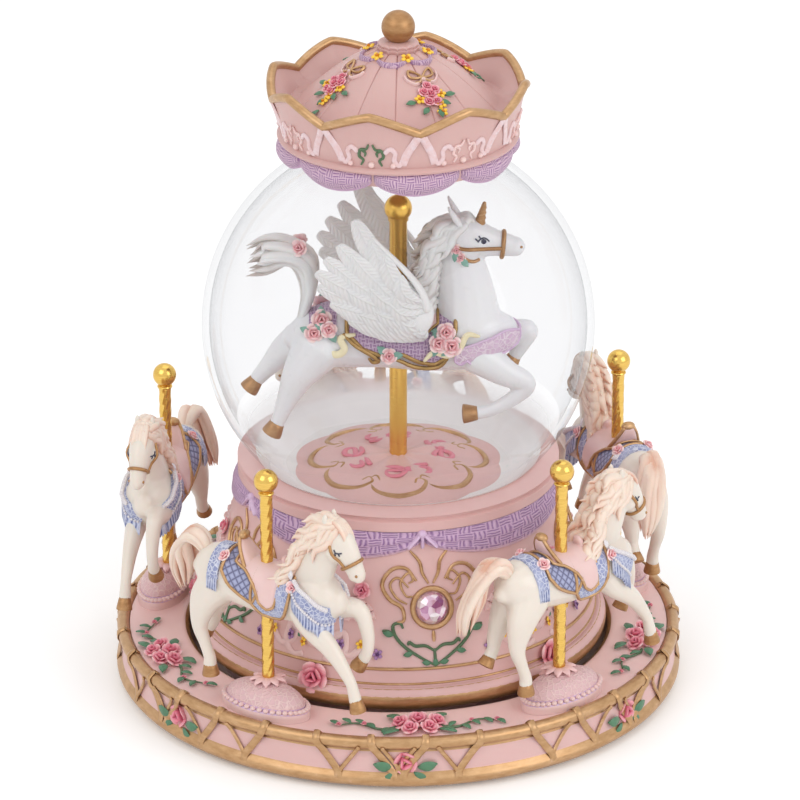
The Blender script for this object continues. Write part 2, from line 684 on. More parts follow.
def blown(name, **look):  # clear glass, greyer where it is seen edge on
    shop = Shop(name, {})
    tree, links = shop.tree, shop.tree.links
    edge = shop.node("ShaderNodeLayerWeight", None, {"Blend": look["edge"]}, "Facing")
    smear = shop.noise(30)
    front = 1 - shop.node("ShaderNodeNewGeometry", None, None, "Backfacing")
    middle, border = [shop.node("ShaderNodeBsdfTransparent", None, {"Color": look[n]})
        for n in ("clear", "rim")]
    through = shop.node("ShaderNodeMixShader", None,
        {0: shop.span(edge, 0.35, 1.0) * front, 1: middle, 2: border})
    shine = shop.node("ShaderNodeBsdfGlossy", None, {"Roughness": 0.01 + smear * 0.02})
    fresnel = shop.node("ShaderNodeFresnel", None, {"IOR": look["index"]})
    both = shop.node("ShaderNodeMixShader", None,
        {0: fresnel * front * look["shine"], 1: through, 2: shine})
    links.new(both.socket, tree.nodes["Material Output"].inputs["Surface"])
    tree.nodes.remove(shop.skin)
    return shop.material


def frosted(name, **look):  # white cement under the ball, seen only from inside the glass
    shop = Shop(name, {})
    tree = shop.tree
    high = shop.node("ShaderNodeSeparateXYZ", None, {0: shop.spot()}, "Z")
    front = 1 - shop.node("ShaderNodeNewGeometry", None, None, "Backfacing")
    smear = shop.noise(160)
    shop.set({"Base Color": shop.mix(smear, look["colour"], look["second"]), "Roughness": 0.8})
    clear = shop.node("ShaderNodeBsdfTransparent")
    white = Value(shop, shop.skin.outputs["BSDF"])
    both = shop.node("ShaderNodeMixShader", None,
        {0: front * shop.span(high, look["fades"], look["full"]), 1: clear, 2: white})
    tree.links.new(both.socket, tree.nodes["Material Output"].inputs["Surface"])
    return shop.material


finishes = {
    "frost": frosted("whiteCement", colour=(0.93, 0.93, 0.93), second=(0.88, 0.88, 0.89), fades=0.07,
        full=0.0605),
    "pink": painted("pinkResin", colour=(0.735, 0.475, 0.455), second=(0.69, 0.42, 0.405),
        dark=(0.46, 0.19, 0.18), light=(0.86, 0.64, 0.61), rough=0.46, coat=0.12, glow=0.06),
    "pinkTop": painted("platePink", colour=(0.865, 0.6, 0.575), second=(0.82, 0.54, 0.52),
        dark=(0.5, 0.22, 0.21), light=(0.93, 0.74, 0.71), rough=0.46, coat=0.12, glow=0.06),
    "pinkRoof": painted("canopyPink", colour=(0.635, 0.4, 0.375), second=(0.6, 0.355, 0.335),
        dark=(0.42, 0.17, 0.16), light=(0.78, 0.56, 0.53), rough=0.46, coat=0.12, glow=0.06),
    "blush": painted("blushResin", colour=(0.8, 0.56, 0.535), second=(0.76, 0.49, 0.48),
        dark=(0.48, 0.21, 0.23), light=(0.9, 0.73, 0.7), rough=0.42, coat=0.2, glow=0.06),
    "gold": gilded("antiqueGold", colour=(0.44, 0.25, 0.115), second=(0.59, 0.37, 0.195),
        dark=(0.18, 0.08, 0.03), under=(0.76, 0.5, 0.42), metal=0.75, rough=0.36, streaks=260),
    "darkGold": gilded("darkGold", colour=(0.32, 0.19, 0.06), second=(0.5, 0.31, 0.11),
        dark=(0.1, 0.05, 0.02), under=(0.5, 0.36, 0.26), metal=0.7, rough=0.38, streaks=420),
    "bronze": gilded("bronzePaint", colour=(0.36, 0.18, 0.07), second=(0.48, 0.27, 0.12),
        dark=(0.12, 0.05, 0.02), under=(0.56, 0.36, 0.22), metal=0.6, rough=0.4, streaks=300),
    "brightGold": brushed("polishedGold", colour=(0.82, 0.55, 0.15), second=(0.63, 0.37, 0.075),
        dark=(0.24, 0.1, 0.012), rough=0.2),
    "satinGold": brushed("satinGold", colour=(0.86, 0.54, 0.13), second=(0.78, 0.44, 0.08),
        dark=(0.36, 0.16, 0.02), rough=0.3),
    "ivory": painted("ivoryResin", colour=(0.785, 0.71, 0.63), second=(0.74, 0.645, 0.56),
        dark=(0.47, 0.31, 0.22), light=(0.86, 0.81, 0.745), rough=0.36, coat=0.25, glow=0.08, wash=0.55,
        grain=0.05),
    "pearl": painted("pearlResin", colour=(0.81, 0.81, 0.815), second=(0.78, 0.765, 0.8),
        dark=(0.44, 0.41, 0.47), light=(0.9, 0.9, 0.91), rough=0.3, coat=0.4, glow=0.06, wash=0.6,
        grain=0.04),
    "mane": haired("peachHair", under=(0.7, 0.37, 0.26), colour=(0.87, 0.71, 0.6),
        second=(0.85, 0.56, 0.44)),
    "pearlHair": haired("pearlHair", under=(0.54, 0.47, 0.43), colour=(0.83, 0.82, 0.81),
        second=(0.78, 0.74, 0.71)),
    "fringe": fringed("blueFringe", threads=9.0, gap=(0.11, 0.14, 0.34), colour=(0.52, 0.56, 0.74),
        second=(0.74, 0.75, 0.84)),
    "lilacWeave": woven("lilacWeave", across=3.4, updown=3.4, stray=1.2, colour=(0.58, 0.42, 0.58),
        second=(0.74, 0.6, 0.72), gap=(0.3, 0.17, 0.32), edge=(0.7, 0.54, 0.68)),
    "lilacLace": laced("lilacLace", cells=700, colour=(0.66, 0.46, 0.62), thread=(0.84, 0.73, 0.8),
        second=(0.76, 0.59, 0.71), dark=(0.4, 0.2, 0.38)),
    "purple": woven("purpleWeave", across=34.0, updown=1.5, ply=3.0, colour=(0.6, 0.4, 0.58),
        second=(0.71, 0.52, 0.67), gap=(0.28, 0.15, 0.32), edge=(0.7, 0.46, 0.56)),
    "drapes": woven("canopyWeave", across=50.0, updown=1.7, ply=3.0, colour=(0.66, 0.46, 0.58),
        second=(0.76, 0.55, 0.62), gap=(0.3, 0.15, 0.32), edge=(0.62, 0.38, 0.58)),
    "lavender": painted("lavenderPaint", colour=(0.68, 0.49, 0.68), second=(0.6, 0.4, 0.62),
        dark=(0.26, 0.13, 0.3), light=(0.84, 0.72, 0.84), rough=0.45, coat=0.1),
    "rose": petalled("rosePetals", stops=[(0.0, (0.5, 0.07, 0.13)), (0.4, (0.74, 0.21, 0.29)),
        (0.8, (0.86, 0.42, 0.46)), (1.0, (0.93, 0.66, 0.66))], dark=(0.36, 0.04, 0.08)),
    "paleRose": petalled("palePetals",
        stops=[(0.0, (0.72, 0.24, 0.3)), (0.4, (0.85, 0.46, 0.48)), (0.8, (0.92, 0.68, 0.67)),
        (1.0, (0.95, 0.8, 0.78))], dark=(0.52, 0.12, 0.16)),
    "petal": painted("petalPaint", colour=(0.82, 0.47, 0.47), second=(0.86, 0.58, 0.57),
        dark=(0.5, 0.14, 0.18), light=(0.91, 0.7, 0.68), rough=0.45, coat=0.1, wear=0.6),
    "yellow": petalled("yellowPetals",
        stops=[(0.0, (0.62, 0.22, 0.01)), (0.5, (0.93, 0.5, 0.02)), (1.0, (0.96, 0.68, 0.08))],
        dark=(0.42, 0.14, 0.0)),
    "violet": petalled("violetPetals",
        stops=[(0.0, (0.1, 0.03, 0.14)), (0.6, (0.26, 0.11, 0.3)), (1.0, (0.46, 0.28, 0.5))],
        dark=(0.06, 0.02, 0.09)),
    "leaf": painted("leafGreen", colour=(0.045, 0.15, 0.075), second=(0.08, 0.22, 0.11),
        dark=(0.012, 0.045, 0.022), light=(0.16, 0.33, 0.2), rough=0.42, coat=0.15, wear=0.5),
    "teal": painted("tealLeaf", colour=(0.12, 0.3, 0.24), second=(0.2, 0.42, 0.34), dark=(0.03, 0.1, 0.08),
        light=(0.44, 0.64, 0.54), rough=0.45, wear=0.5),
    "vine": painted("vineGreen", colour=(0.06, 0.12, 0.055), second=(0.09, 0.17, 0.08),
        dark=(0.02, 0.04, 0.02), light=(0.17, 0.27, 0.15), rough=0.45, wear=0.5),
    "quilt": quilted("blueQuilt", pitch=2.1, colour=(0.34, 0.36, 0.55), second=(0.46, 0.49, 0.68),
        seam=(0.12, 0.12, 0.22)),
    "lace": laced("blueLace", cells=900, colour=(0.27, 0.3, 0.5), thread=(0.66, 0.68, 0.8),
        second=(0.5, 0.53, 0.7), dark=(0.14, 0.14, 0.24)),
    "doily": laced("pinkLace", cells=720, colour=(0.7, 0.45, 0.47), thread=(0.8, 0.58, 0.56),
        second=(0.75, 0.48, 0.48), dark=(0.42, 0.16, 0.18)),
    "frill": laced("whiteLace", cells=1100, colour=(0.72, 0.68, 0.72), thread=(0.9, 0.87, 0.86),
        second=(0.8, 0.74, 0.78), dark=(0.42, 0.38, 0.46)),
    "shimmer": painted("shimmerPaint", colour=(0.74, 0.49, 0.48), second=(0.77, 0.61, 0.64),
        dark=(0.5, 0.24, 0.26), light=(0.82, 0.7, 0.73), rough=0.3, coat=0.5, mottle=1.0, broad=700,
        wear=0.25),
    "ribbon": painted("creamRibbon", colour=(0.83, 0.74, 0.46), second=(0.88, 0.82, 0.62),
        dark=(0.46, 0.34, 0.14), light=(0.94, 0.9, 0.78), rough=0.4, coat=0.2),
    "ink": painted("eyePaint", colour=(0.02, 0.022, 0.05), second=(0.03, 0.03, 0.08),
        dark=(0.005, 0.005, 0.01), light=(0.06, 0.06, 0.12), rough=0.25, coat=0.6),
    "gem": crystal("pinkCrystal", facets=520, stops=[(0.0, (0.34, 0.1, 0.27)), (0.35, (0.64, 0.33, 0.51)),
        (0.7, (0.85, 0.64, 0.75)), (1.0, (0.97, 0.92, 0.95))]),
    "seal": painted("sealRubber", colour=(0.86, 0.84, 0.83), second=(0.82, 0.8, 0.79),
        dark=(0.5, 0.47, 0.46), rough=0.6),
    "feather": feathered("featherPaint", colour=(0.82, 0.81, 0.8), dark=(0.48, 0.44, 0.46),
        light=(0.91, 0.91, 0.91)),
    "glass": blown("clearGlass", edge=0.3, clear=(0.962, 0.962, 0.966), rim=(0.8, 0.81, 0.825), index=1.36,
        shine=0.8),
}

plain = {  # record slots of the pieces kept from the CAD model
    "pink_resin": finishes["pink"], "gold_paint": finishes["gold"], "ivory_resin": finishes["ivory"],
    "pearl_resin": finishes["pearl"], "gold_metal": finishes["satinGold"], "clear_glass": finishes["glass"],
    "cut_crystal": finishes["gem"], "rubber_seal": finishes["seal"],
    "rubber_foot": painted("footRubber", colour=(0.05, 0.05, 0.05), second=(0.07, 0.07, 0.07),
        dark=(0.02, 0.02, 0.02), rough=0.75),
    "base_plastic": painted("basePlastic", colour=(0.8, 0.68, 0.62), second=(0.76, 0.62, 0.57),
        dark=(0.42, 0.28, 0.24), rough=0.5),
    "gear_nylon": painted("gearNylon", colour=(0.8, 0.78, 0.72), second=(0.74, 0.72, 0.66),
        dark=(0.46, 0.44, 0.38), rough=0.4),
    "movement_steel": brushed("movementSteel", colour=(0.62, 0.62, 0.63), second=(0.52, 0.52, 0.54),
        dark=(0.2, 0.2, 0.21), rough=0.3),
    "movement_brass": brushed("movementBrass", colour=(0.8, 0.6, 0.26), second=(0.7, 0.5, 0.18),
        dark=(0.34, 0.22, 0.06), rough=0.28),
}
print("finishes made:", len(finishes))


def turnZ(degrees):
    return np.array(Matrix.Rotation(radians(degrees), 3, "Z"))


def roseShape():  # three rings of cupped petals round a bud, one unit in radius, facing up
    clay = Clay()
    for ring, (count, lean, reach, large) in enumerate(((3, 12, 0.16, 0.36), (4, 38, 0.36, 0.46),
            (5, 64, 0.6, 0.5))):
        for k in range(count):
            points, faces = ball((0, 0, 0), (large, large * 0.26, large * 0.9), 6, 8)
            tone = np.clip(0.12 + 0.22 * ring + 0.45 * (points[:, 2] / large), 0, 1)
            turn = turnZ(360 * k / count + 35 * ring) @ np.array(Matrix.Rotation(radians(lean), 3, "X"))
            shift = turnZ(360 * k / count + 35 * ring) @ vec(0, -reach, 0.42 - 0.18 * ring)
            clay.add(points @ turn.T + shift, faces, 0, np.stack([tone * 0, tone * 0, tone], -1))
    return clay


def leafShape():  # one unit long along Y, bent, with a raised middle
    t = np.linspace(0, 1, 7)
    path = np.stack([0 * t, t, 0.12 * np.sin(3.1 * t)], -1)
    return Clay().add(*tube(path, 0.3 * np.sin(pi * (0.06 + 0.9 * t)) ** 0.8, 0.08, 6, across=(1, 0, 0)))


def daisyShape():  # five round petals and an eye
    clay = Clay().add(*ball((0, 0, 0.3), 0.32, 4, 6), 0, None)
    for k in range(5):
        points, faces = ball((0, -0.6, 0.15), (0.36, 0.42, 0.2), 4, 6)
        clay.add(points @ turnZ(fifth * k).T, faces, 0, np.ones_like(points) * 0.8)
    return clay


rose, leaf, daisy = roseShape(), leafShape(), daisyShape()
dot = Clay().add(*ball((0, 0, 0), 1.0, 5, 8))

# Turning platform: plate, skirt, rail and rim, with the gold lattice, roses and sprigs

platform = {"inner": 55.2, "ledge": 54.5, "skirt": 72.2, "top": 13.5, "rail": 71.6, "railZ": 12.9,
    "railSize": 1.6, "wraps": 33, "strip": 0.95, "slant": 4.6, "reach": 73.55, "skirtRoses": 7,
    "clusters": 5}
ring = [(platform["inner"], 11.0, 1), (platform["inner"], 11.9, 1), (platform["ledge"], 12.0, 1),
    (platform["ledge"], 12.5, 1), (platform["inner"] + 0.3, 13.2, 2),
    *((r, platform["top"], 2) for r in (56.0, 57.0, 64, 69.9))]
for a in np.linspace(195, -95, 18):
    ring.append((platform["rail"] + platform["railSize"] * cos(radians(a)), platform["railZ"]
        + platform["railSize"] * sin(radians(a)), 1))
ring += [(71.9, 10.6, 0), (72.1, 8, 0), (72.15, 5.6, 0), (72.3, 5.2, 1)]
ring += [(platform["skirt"] + 1.4 * sin(pi * t), 5.1 - 4.0 * t, 1) for t in np.linspace(0.1, 0.95, 8)]
ring += [(71.6, 1.0, 1), (69.6, 1.0, 0), (69.6, 10.6, 0), (66, 11.0, 0)]


def platformPush(radius, height, angle):  # a hand-cast surface is never quite even
    soft = 0.1 * np.sin(7 * angle + 0.5 * height) + 0.06 * np.sin(19 * angle + 1.0)
    outer = np.clip((radius - 70.5) / 1.5, 0, 1)
    return radius + 0.6 * soft * outer, height + 0.5 * soft * (height > 11.2), soft


clay = lathe(Clay(), ring, 288, platformPush)
for k in range(platform["wraps"]):
    phi = 5.5 + 360 / platform["wraps"] * k
    lean = 1 if (phi % (360 / 7)) > 180 / 7 else -1
    for wide, size in ((True, platform["strip"]), (False, 0.55)):
        drop = [(70.3, 14.0), (71.6, 14.85), (73.25, 13.6), (73.35, 12.2), (72.7, 10.6), (72.55, 7.5),
            (72.9, 5.2), (73.5, 3.6)]
        shift = (0, 0, 0.03, 0.12, 0.3, 0.68, 0.95, 1.0)
        path = [place(phi + lean * platform["slant"] * (s if wide else 2 - s), r, z)
            for s, (r, z) in list(zip(shift, drop))[(0 if wide else 3):]]
        line = spline(path, 22)
        strip(clay, line, size, 0.34, unit(line * (1, 1, 0)), 1)


def within(clay, reach):  # nothing stands out past the rim
    for k, points in enumerate(clay.points):
        far = np.hypot(points[:, 0], points[:, 1])
        clay.points[k] = points * np.stack([np.minimum(1, reach / np.maximum(far, 1e-6))] * 2
            + [far * 0 + 1], -1)


within(clay, platform["reach"])
piece("platform", clay, ("pink", "gold", "pinkTop"), "carousel", ["platform_ring"])

random.seed(7)
roses, leaves, sprigs, buds = [], [], [], []
for k in range(platform["skirtRoses"]):
    phi = 1.4 + 360 / platform["skirtRoses"] * k
    out = unit(place(phi, 1, 0))
    roses.append((place(phi, 70.5, 7.8), spunOn(out, random.uniform(0, 90)), 4.7))
    for side in (-1, 1):
        leaves += [(place(phi + side * 2.6, 72.4, 6.6), spunOn(out, -side * 78), (4.6, 4.6, 5)),
                   (place(phi + side * 1.8, 72.6, 5.2), spunOn(out, -side * 120), (3.4, 3.6, 4))]
for k in range(platform["clusters"]):
    phi = 4.5 + fifth * k
    for dx, dr, size in ((-4.6, 0.4, 2.5), (0, 1.6, 2.9), (4.6, 0.4, 2.6), (-2.2, -2.6, 2.3),
            (2.4, -2.4, 2.4)):
        roses.append((place(phi + dx * 0.88, 64.5 - dr, 14.6),
            spunOn((0.1 * dx, -0.3, 1), random.uniform(0, 90)), size))
    for side in (-1, 1):
        t = np.linspace(0, 1, 14)
        lines = [place(phi + side * (5 + 13 * u), 64.8 + 1.3 * sin(7 * u + k), 13.9) for u in t]
        sprigs.append((lines, 0.38 * (1 - 0.6 * t), False))
        for u in (0.12, 0.35, 0.55, 0.78, 0.97):
            where = place(phi + side * (5 + 13 * u), 64.8 + 1.3 * sin(7 * u + k), 14.1)
            turn = spunOn((0, 0, 1), phi - side * 90 + random.choice((-50, 50)), (0, 1, 0))
            leaves.append((where, turn, (2.9, 2.9, 3)))
            if u in (0.55, 0.97):
                buds.append((where, spunOn((0, 0, 1), 0), 0.9))
        leaves += [(place(phi + side * 3.5, 61.2, 14.2), spunOn((0, 0, 1), phi - side * 60, (0, 1, 0)),
            4.2), (place(phi + side * 4.5, 67, 14.2), spunOn((0, 0, 1), phi - side * 115, (0, 1, 0)), 4.2)]
clay = Clay().strew(rose, roses, "rose", 0).strew(leaf, leaves, "leaf", 1)
clay.lay(sprigs, "vine", 6, 2).strew(rose, buds, "rose", 0)
within(clay, platform["reach"])
piece("platformFlowers", clay, ("rose", "leaf", "vine"), "carousel")
print("platform done")

# Pedestals with bead borders, and twisted poles with ball tops

stand = {"circle": 63.25, "long": 12.4, "wide": 6.5, "beads": 40, "start": -31.5, "pole": 62.15,
    "turns": 3.2, "ballZ": 75.5, "ball": 3.05, "hoofZ": 20.0}
for number in range(1, 6):
    phi = stand["start"] + fifth * (number - 1)
    spin = turnZ(phi)
    foot = place(phi, stand["circle"], platform["top"])
    profile = [(1.0, 0.0, 0), (1.0, 1.2, 0), (0.99, 2.1, 3), (0.965, 2.4, 3), (0.88, 2.5, 3)]
    profile += [(0.9 * cos(a), 2.6 + 5.2 * sin(a) ** 0.9, 1) for a in np.linspace(0.12, 1.45, 9)]
    profile += [(0.0, 7.9, 1), (0.0, 0.0, 0)]
    oval = lathe(Clay(), profile, 72)
    points = np.concatenate(oval.points) * vec(stand["long"], stand["wide"], 1)
    clay = Clay().add(points @ spin.T + foot, [], 0)
    clay.faces, clay.finishOf = oval.faces, oval.finishOf
    border = [(spin @ vec(stand["long"] * 0.955 * cos(a), stand["wide"] * 0.93 * sin(a), 2.75) + foot,
               Euler(), (0.78, 0.78, 0.62)) for a in fullTurn(stand["beads"])]
    clay.strew(dot, border, "blush", 0)
    base = place(phi, stand["pole"], 21.2)
    frills = []
    # two rings of petals round the pole
    for count, long, tilt, lift in ((11, 5.0, 0.55, 0.0), (9, 3.9, 0.1, 0.5)):
        for a in np.linspace(0.2 * count, 0.2 * count + 2 * pi, count, endpoint=False):
            way = vec(cos(a), sin(a), 0)
            frills.append((base + 0.6 * way + vec(0, 0, lift), spunOn(way * tilt + vec(0, 0, 1), 0, way),
                (long, long, 5)))
    clay.strew(leaf, frills, "petal", 2)
    piece(f"pedestal{number}", clay, ("blush", "doily", "petal", "lavender"),
          "carousel", [f"pedestal_{number}"])
    rodMesh = grown("twist", bpy.data.meshes.new("empty"),
        {"Length": (stand["ballZ"] - 13.6) * mm, "Radius": 1.6 * mm, "Turns": stand["turns"], "Strands": 6,
        "Groove": 0.035, "Finish": finishes["brightGold"]})
    clay = Clay().addMesh(rodMesh)
    clay.points[0] = clay.points[0] + place(phi, stand["pole"], 13.6)
    clay.add(*ball(place(phi, stand["pole"], stand["ballZ"]), stand["ball"], 20, 28))
    t = fullTurn(24)
    clay.addMesh(pipes([([place(phi, stand["pole"], 72.3) + 1.55 * vec(cos(a), sin(a), 0) for a in t], 0.45,
        True)], "brightGold"))
    piece(f"pole{number}", clay, ["brightGold"], "carousel", [f"pole_{number}"])
print("pedestals and poles done")


def shell(clay, outer, inner, finish, cloth):  # a closed sheet between two grids of points
    rows, columns = outer.shape[:2]
    n = rows * columns
    front = gridFaces(rows, columns)
    faces = front + [tuple(n + k for k in reversed(f)) for f in front]
    edge = [j for j in range(columns)] + [i * columns + columns - 1 for i in range(1, rows)]
    edge += [(rows - 1) * columns + j for j in range(columns - 2, -1, -1)]
    edge += [i * columns for i in range(rows - 2, 0, -1)]
    faces += [(a, a + n, b + n, b) for a, b in zip(edge, edge[1:] + edge[:1])]
    return clay.add(np.concatenate([outer.reshape(-1, 3), inner.reshape(-1, 3)]), faces, finish,
        np.concatenate([cloth.reshape(-1, 3)] * 2))


# Drum trim: gold foot and lines, swags, jewels in scrolls, vines, shells, ribbons and roses

drum = {"low": 22.9, "high": 56.3, "foot": 50.6, "neck": 40.4, "flare": 3.35, "swags": 5, "knot": 8.3,
    "swagTop": 56.1, "swagDrop": 7.6, "gem": 10.7, "gemZ": 37.1, "gemCircle": 45.44, "tilt": 17.77,
    "rose": -24.0}


def drumRadius(z):
    t = np.clip((z - drum["low"]) / (drum["high"] - drum["low"]), -0.3, 1)
    return drum["foot"] - (drum["foot"] - drum["neck"]) * t - drum["flare"] * t * (1 - t)


def onDrum(phi, x, z, lift=0.2):  # x millimetres to the right of phi, on the drum's wall
    r = float(drumRadius(z))
    return place(phi + degrees(x / r), r + lift, z)


clay = Clay()
bead = [(51.63 + 2.5 * cos(a), 15.4 + 3.0 * sin(a), 0) for a in np.linspace(1.2, -1.2, 18)]
bead += [(51.6, 12.6, 0), (51.6, 18.2, 0)]
lathe(clay, bead, 240)
for r, z, size in ((51.25, 19.0, 0.32), (50.75, 22.9, 0.42)):
    around = [(r + size * cos(a), z + size * sin(a), 0) for a in fullTurn(8)]
    lathe(clay, around, 200)

scrolls, stems, ribbons = [], [], []
gems, roses, leaves, flowers, violets, shells = Clay(), [], [], [], [], []
for k in range(drum["swags"]):
    phi = drum["gem"] + fifth * k
    out = unit(place(phi, cos(radians(drum["tilt"])), sin(radians(drum["tilt"]))))
    turn = np.array(facing(out).to_matrix())
    centre = place(phi, drum["gemCircle"], drum["gemZ"])
    cut = [(0.0, 1.9, 0), (2.2, 1.75, 0), (3.4, 1.1, 0), (4.1, 0.2, 0), (4.1, -0.6, 0), (0.0, -0.7, 0)]
    brilliant = lathe(Clay(), cut, 12)
    gems.addClay(brilliant, turn, centre)
    band = [(4.9 + 0.72 * cos(a), 0.1 + 0.75 * sin(a), 0) for a in fullTurn(10)]
    clay.addClay(lathe(Clay(), band, 48), turn, centre)
    zero = drum["gemZ"]
    for side in (-1, 1):
        line = [(4.6, 3.0), (6.4, 3.2), (7.6, 6.4), (5.4, 8.8), (4.4, 7.0), (5.6, 6.2)]
        outer = [(3.6, 6.8), (6.0, 9.9), (9.6, 9.6), (12.2, 6.0), (10.6, 2.4), (7.6, 0.4), (7.2, -2.6),
            (9.0, -3.3)]
        inner = [(5.6, 5.2), (8.2, 7.6), (10.2, 5.8), (8.8, 2.8), (6.2, 1.2)]
        upper = [(0.6, 6.0), (2.0, 8.6), (2.6, 11.4), (4.8, 14.2)]
        for path, size in ((outer, 0.55), (inner, 0.36), (upper, 0.45), (line, 0.34)):
            scrolls.append(tapered([onDrum(phi, side * x, zero + z) for x, z in path], size, 26, 0.5))
        vine = [(0.0, -13.6), (3.6, -11.6), (7.4, -9.0), (9.6, -6.4), (10.0, -3.9), (8.2, -3.4),
            (7.6, -4.6)]
        branch = [(9.6, -6.4), (11.2, -5.4), (12.8, -5.2)]
        bracket = [(0.0, -10.2), (2.2, -8.9), (4.8, -8.8), (6.2, -7.9), (6.6, -8.6)]
        stems += [tapered([onDrum(phi, side * x, zero + z) for x, z in path], 0.46, 26, 0.55)
            for path in (vine, branch, bracket)]
        leaves += [(onDrum(phi, side * 10.2, zero - 6.2, 0.3), spunOn(out, -side * 70), 2.6),
                   (onDrum(phi, side * 5.6, zero - 10.4, 0.3), spunOn(out, -side * 100), 2.4),
                   (onDrum(phi, side * 1.2, zero - 13.0, 0.3), spunOn(out, -side * 80), 2.2)]
    scrolls += [tapered([onDrum(phi, 0, zero + z) for z in (-5.4, -6.6, -8.0)], 0.5, 10, 0.5)]
    stems.append(tapered([onDrum(phi, 0, zero + z) for z in (-9.6, -11.6, -13.4)], 0.4, 10, 0.6))
    leaves.append((onDrum(phi, 0, zero - 11.8, 0.3), spunOn(out, 180), 2.2))
    for side in (-1, 1):  # a shell fan and trailing ribbons between the jewels
        fan = phi + side * 25
        for rib in range(7):
            a = radians(-70 + 23.4 * rib)
            reach = [onDrum(fan, side * s * sin(a), 33.5 + s * cos(a), 0.15) for s in (0.8, 2.6, 4.6, 6.0)]
            shells.append((spline(reach, 10), np.linspace(0.35, 1.25, 10), False))
        for lay in range(2):
            x0, z0 = side * (2 - 5 * lay), 31 - 3.2 * lay
            path = [onDrum(fan, x0 + side * x, z0 + z, 0.1)
                for x, z in ((0, 0), (3, -2.4), (6, -1), (7, 2), (4.6, 2.6), (4.2, -1.4), (7, -4.2),
                (9.6, -3.6))]
            ribbons.append((spline(path, 30), 0.8))
        flowers += [(onDrum(fan, side * (6.4 - 9 * j), 27 + 1.4 * j, 0.4), spunOn(out, 30 * j), 1.3)
            for j in range(2)]
        violets += [(onDrum(fan, side * (2.6 - 9.6 * j), 28 - 1.6 * j, 0.4), spunOn(out, 50 * j), 1.5)
            for j in range(2)]
        leaves += [(onDrum(fan, side * (5.0 - 9 * j), 28, 0.3), spunOn(out, 60 * side), 2.2)
            for j in range(2)]
    spot = drum["rose"] + fifth * k
    roses.append((place(spot, 52.0, 19.2), spunOn(unit(place(spot, 1, 0.35)), 25 * k), 4.1))
    roses.append((onDrum(spot, 9.5, 41.5, 0.5), spunOn(unit(place(spot + 10, 1, 0.3)), 40 * k), 2.3))

for k in range(drum["swags"]):  # cloth swags gathered at the knots
    u, v = np.meshgrid(np.linspace(0, 1, 61), np.linspace(0, 1, 15))
    hang = 2.2 + (drum["swagDrop"] - 2.2) * np.sin(pi * u) ** 0.55
    z = drum["swagTop"] - hang * v
    fold = np.cos(2 * pi * 2.5 * v) * (0.25 + 0.35 * (1 - np.sin(pi * u)) ** 1.2)
    puff = 0.5 + 1.0 * np.sin(pi * np.clip(v * 0.9 + 0.06, 0, 1)) * np.sin(pi * u) ** 0.4 + 0.4 * fold
    r = drumRadius(z) + puff
    knot = drum["knot"] + fifth * k
    a = np.radians(knot + fifth * u)
    outer = roundAxis(r, a, z)
    inside = drumRadius(z) - 0.3
    inner = roundAxis(inside, a, z)
    cloth = np.stack([a, v * 8.0, np.clip(0.25 + 0.7 * (v > 0.86) + 0.5 * np.abs(u - 0.5) ** 3, 0, 1)], -1)
    shell(clay, outer, inner, 1, cloth)
    for side in (-1, 0, 1):
        tail = spline([onDrum(knot, side * 0.3, 55.9, 0.9), onDrum(knot, side * 1.6, 54.4, 1.0),
            onDrum(knot, side * 3.6, 52.4, 0.6)], 9)
        clay.add(*tube(tail, np.linspace(0.7, 1.15, 9), 0.5, 8), 2)
    clay.add(*ball(onDrum(knot, 0, 55.6, 0.8), (1.3, 1.3, 1.1), 8, 12), 2)
clay.lay(scrolls, "gold", 8, 0).lay(stems, "vine", 7, 3).lay(shells, "blush", 8, 4)
for line, size in ribbons:
    strip(clay, line, size, 0.34, unit(line * (1, 1, 0) + (0, 0, 12)), 4)
clay.strew(rose, roses, "rose", 5).strew(leaf, leaves, "leaf", 6)
clay.strew(daisy, flowers, "yellow", 7).strew(daisy, violets, "violet", 8)
trims = ["gold", "purple", "lavender", "vine", "blush", "rose", "leaf", "yellow", "violet"]
piece("drumTrim", clay, trims, "base")
piece("jewels", gems, ["gem"], "base", ["drum_jewels"], sharp=8)
print("drum done")

# Glass ball, its island and the centre pole

globe = {"z": 95.8, "radius": 50.0, "wall": 2.0, "mouth": 28.5, "island": 25.0, "shore": 27.2, "lip": 33.2,
    "lipZ": 58.5, "islandZ": 54.4, "rise": 5.2, "pole": 2.25, "ballZ": 127.0, "ball": 3.5, "steps": 72}
rim = asin(globe["mouth"] / globe["radius"])
arc = np.linspace(rim, pi, globe["steps"])
outline = [(globe["radius"] * sin(a), globe["z"] - globe["radius"] * cos(a), 2 * int(a < 0.8)) for a in arc]
hollow = globe["radius"] - globe["wall"]
outline += [(hollow * sin(a), globe["z"] - hollow * cos(a), int(a < 1.05)) for a in arc[::-1]]
top = globe["steps"] - 1
outline[top], outline[top + 1] = (0.0, globe["z"] + globe["radius"], 0), (0.0, globe["z"] + hollow, 0)
piece("globe", lathe(Clay(), outline, 160), ("glass", "frost", "seal"), "base",
    ["globe_glass"], sharp=60)

t = np.linspace(0, 1, 20)
mound = [(0.0, globe["islandZ"] + 0.2, 0), (globe["island"], globe["islandZ"] + 0.2, 0),
    (globe["lip"], globe["lipZ"] - 0.4, 3), (globe["lip"], globe["lipZ"], 3)]
mound += [(globe["shore"] - (globe["shore"] - 1.0) * s, globe["islandZ"] + 2.3 + (globe["rise"] - 1.6) * 0.9
    * sin(pi / 2 * s) ** 0.8, 0) for s in t]
mound += [(0.0, 59.6, 0)]


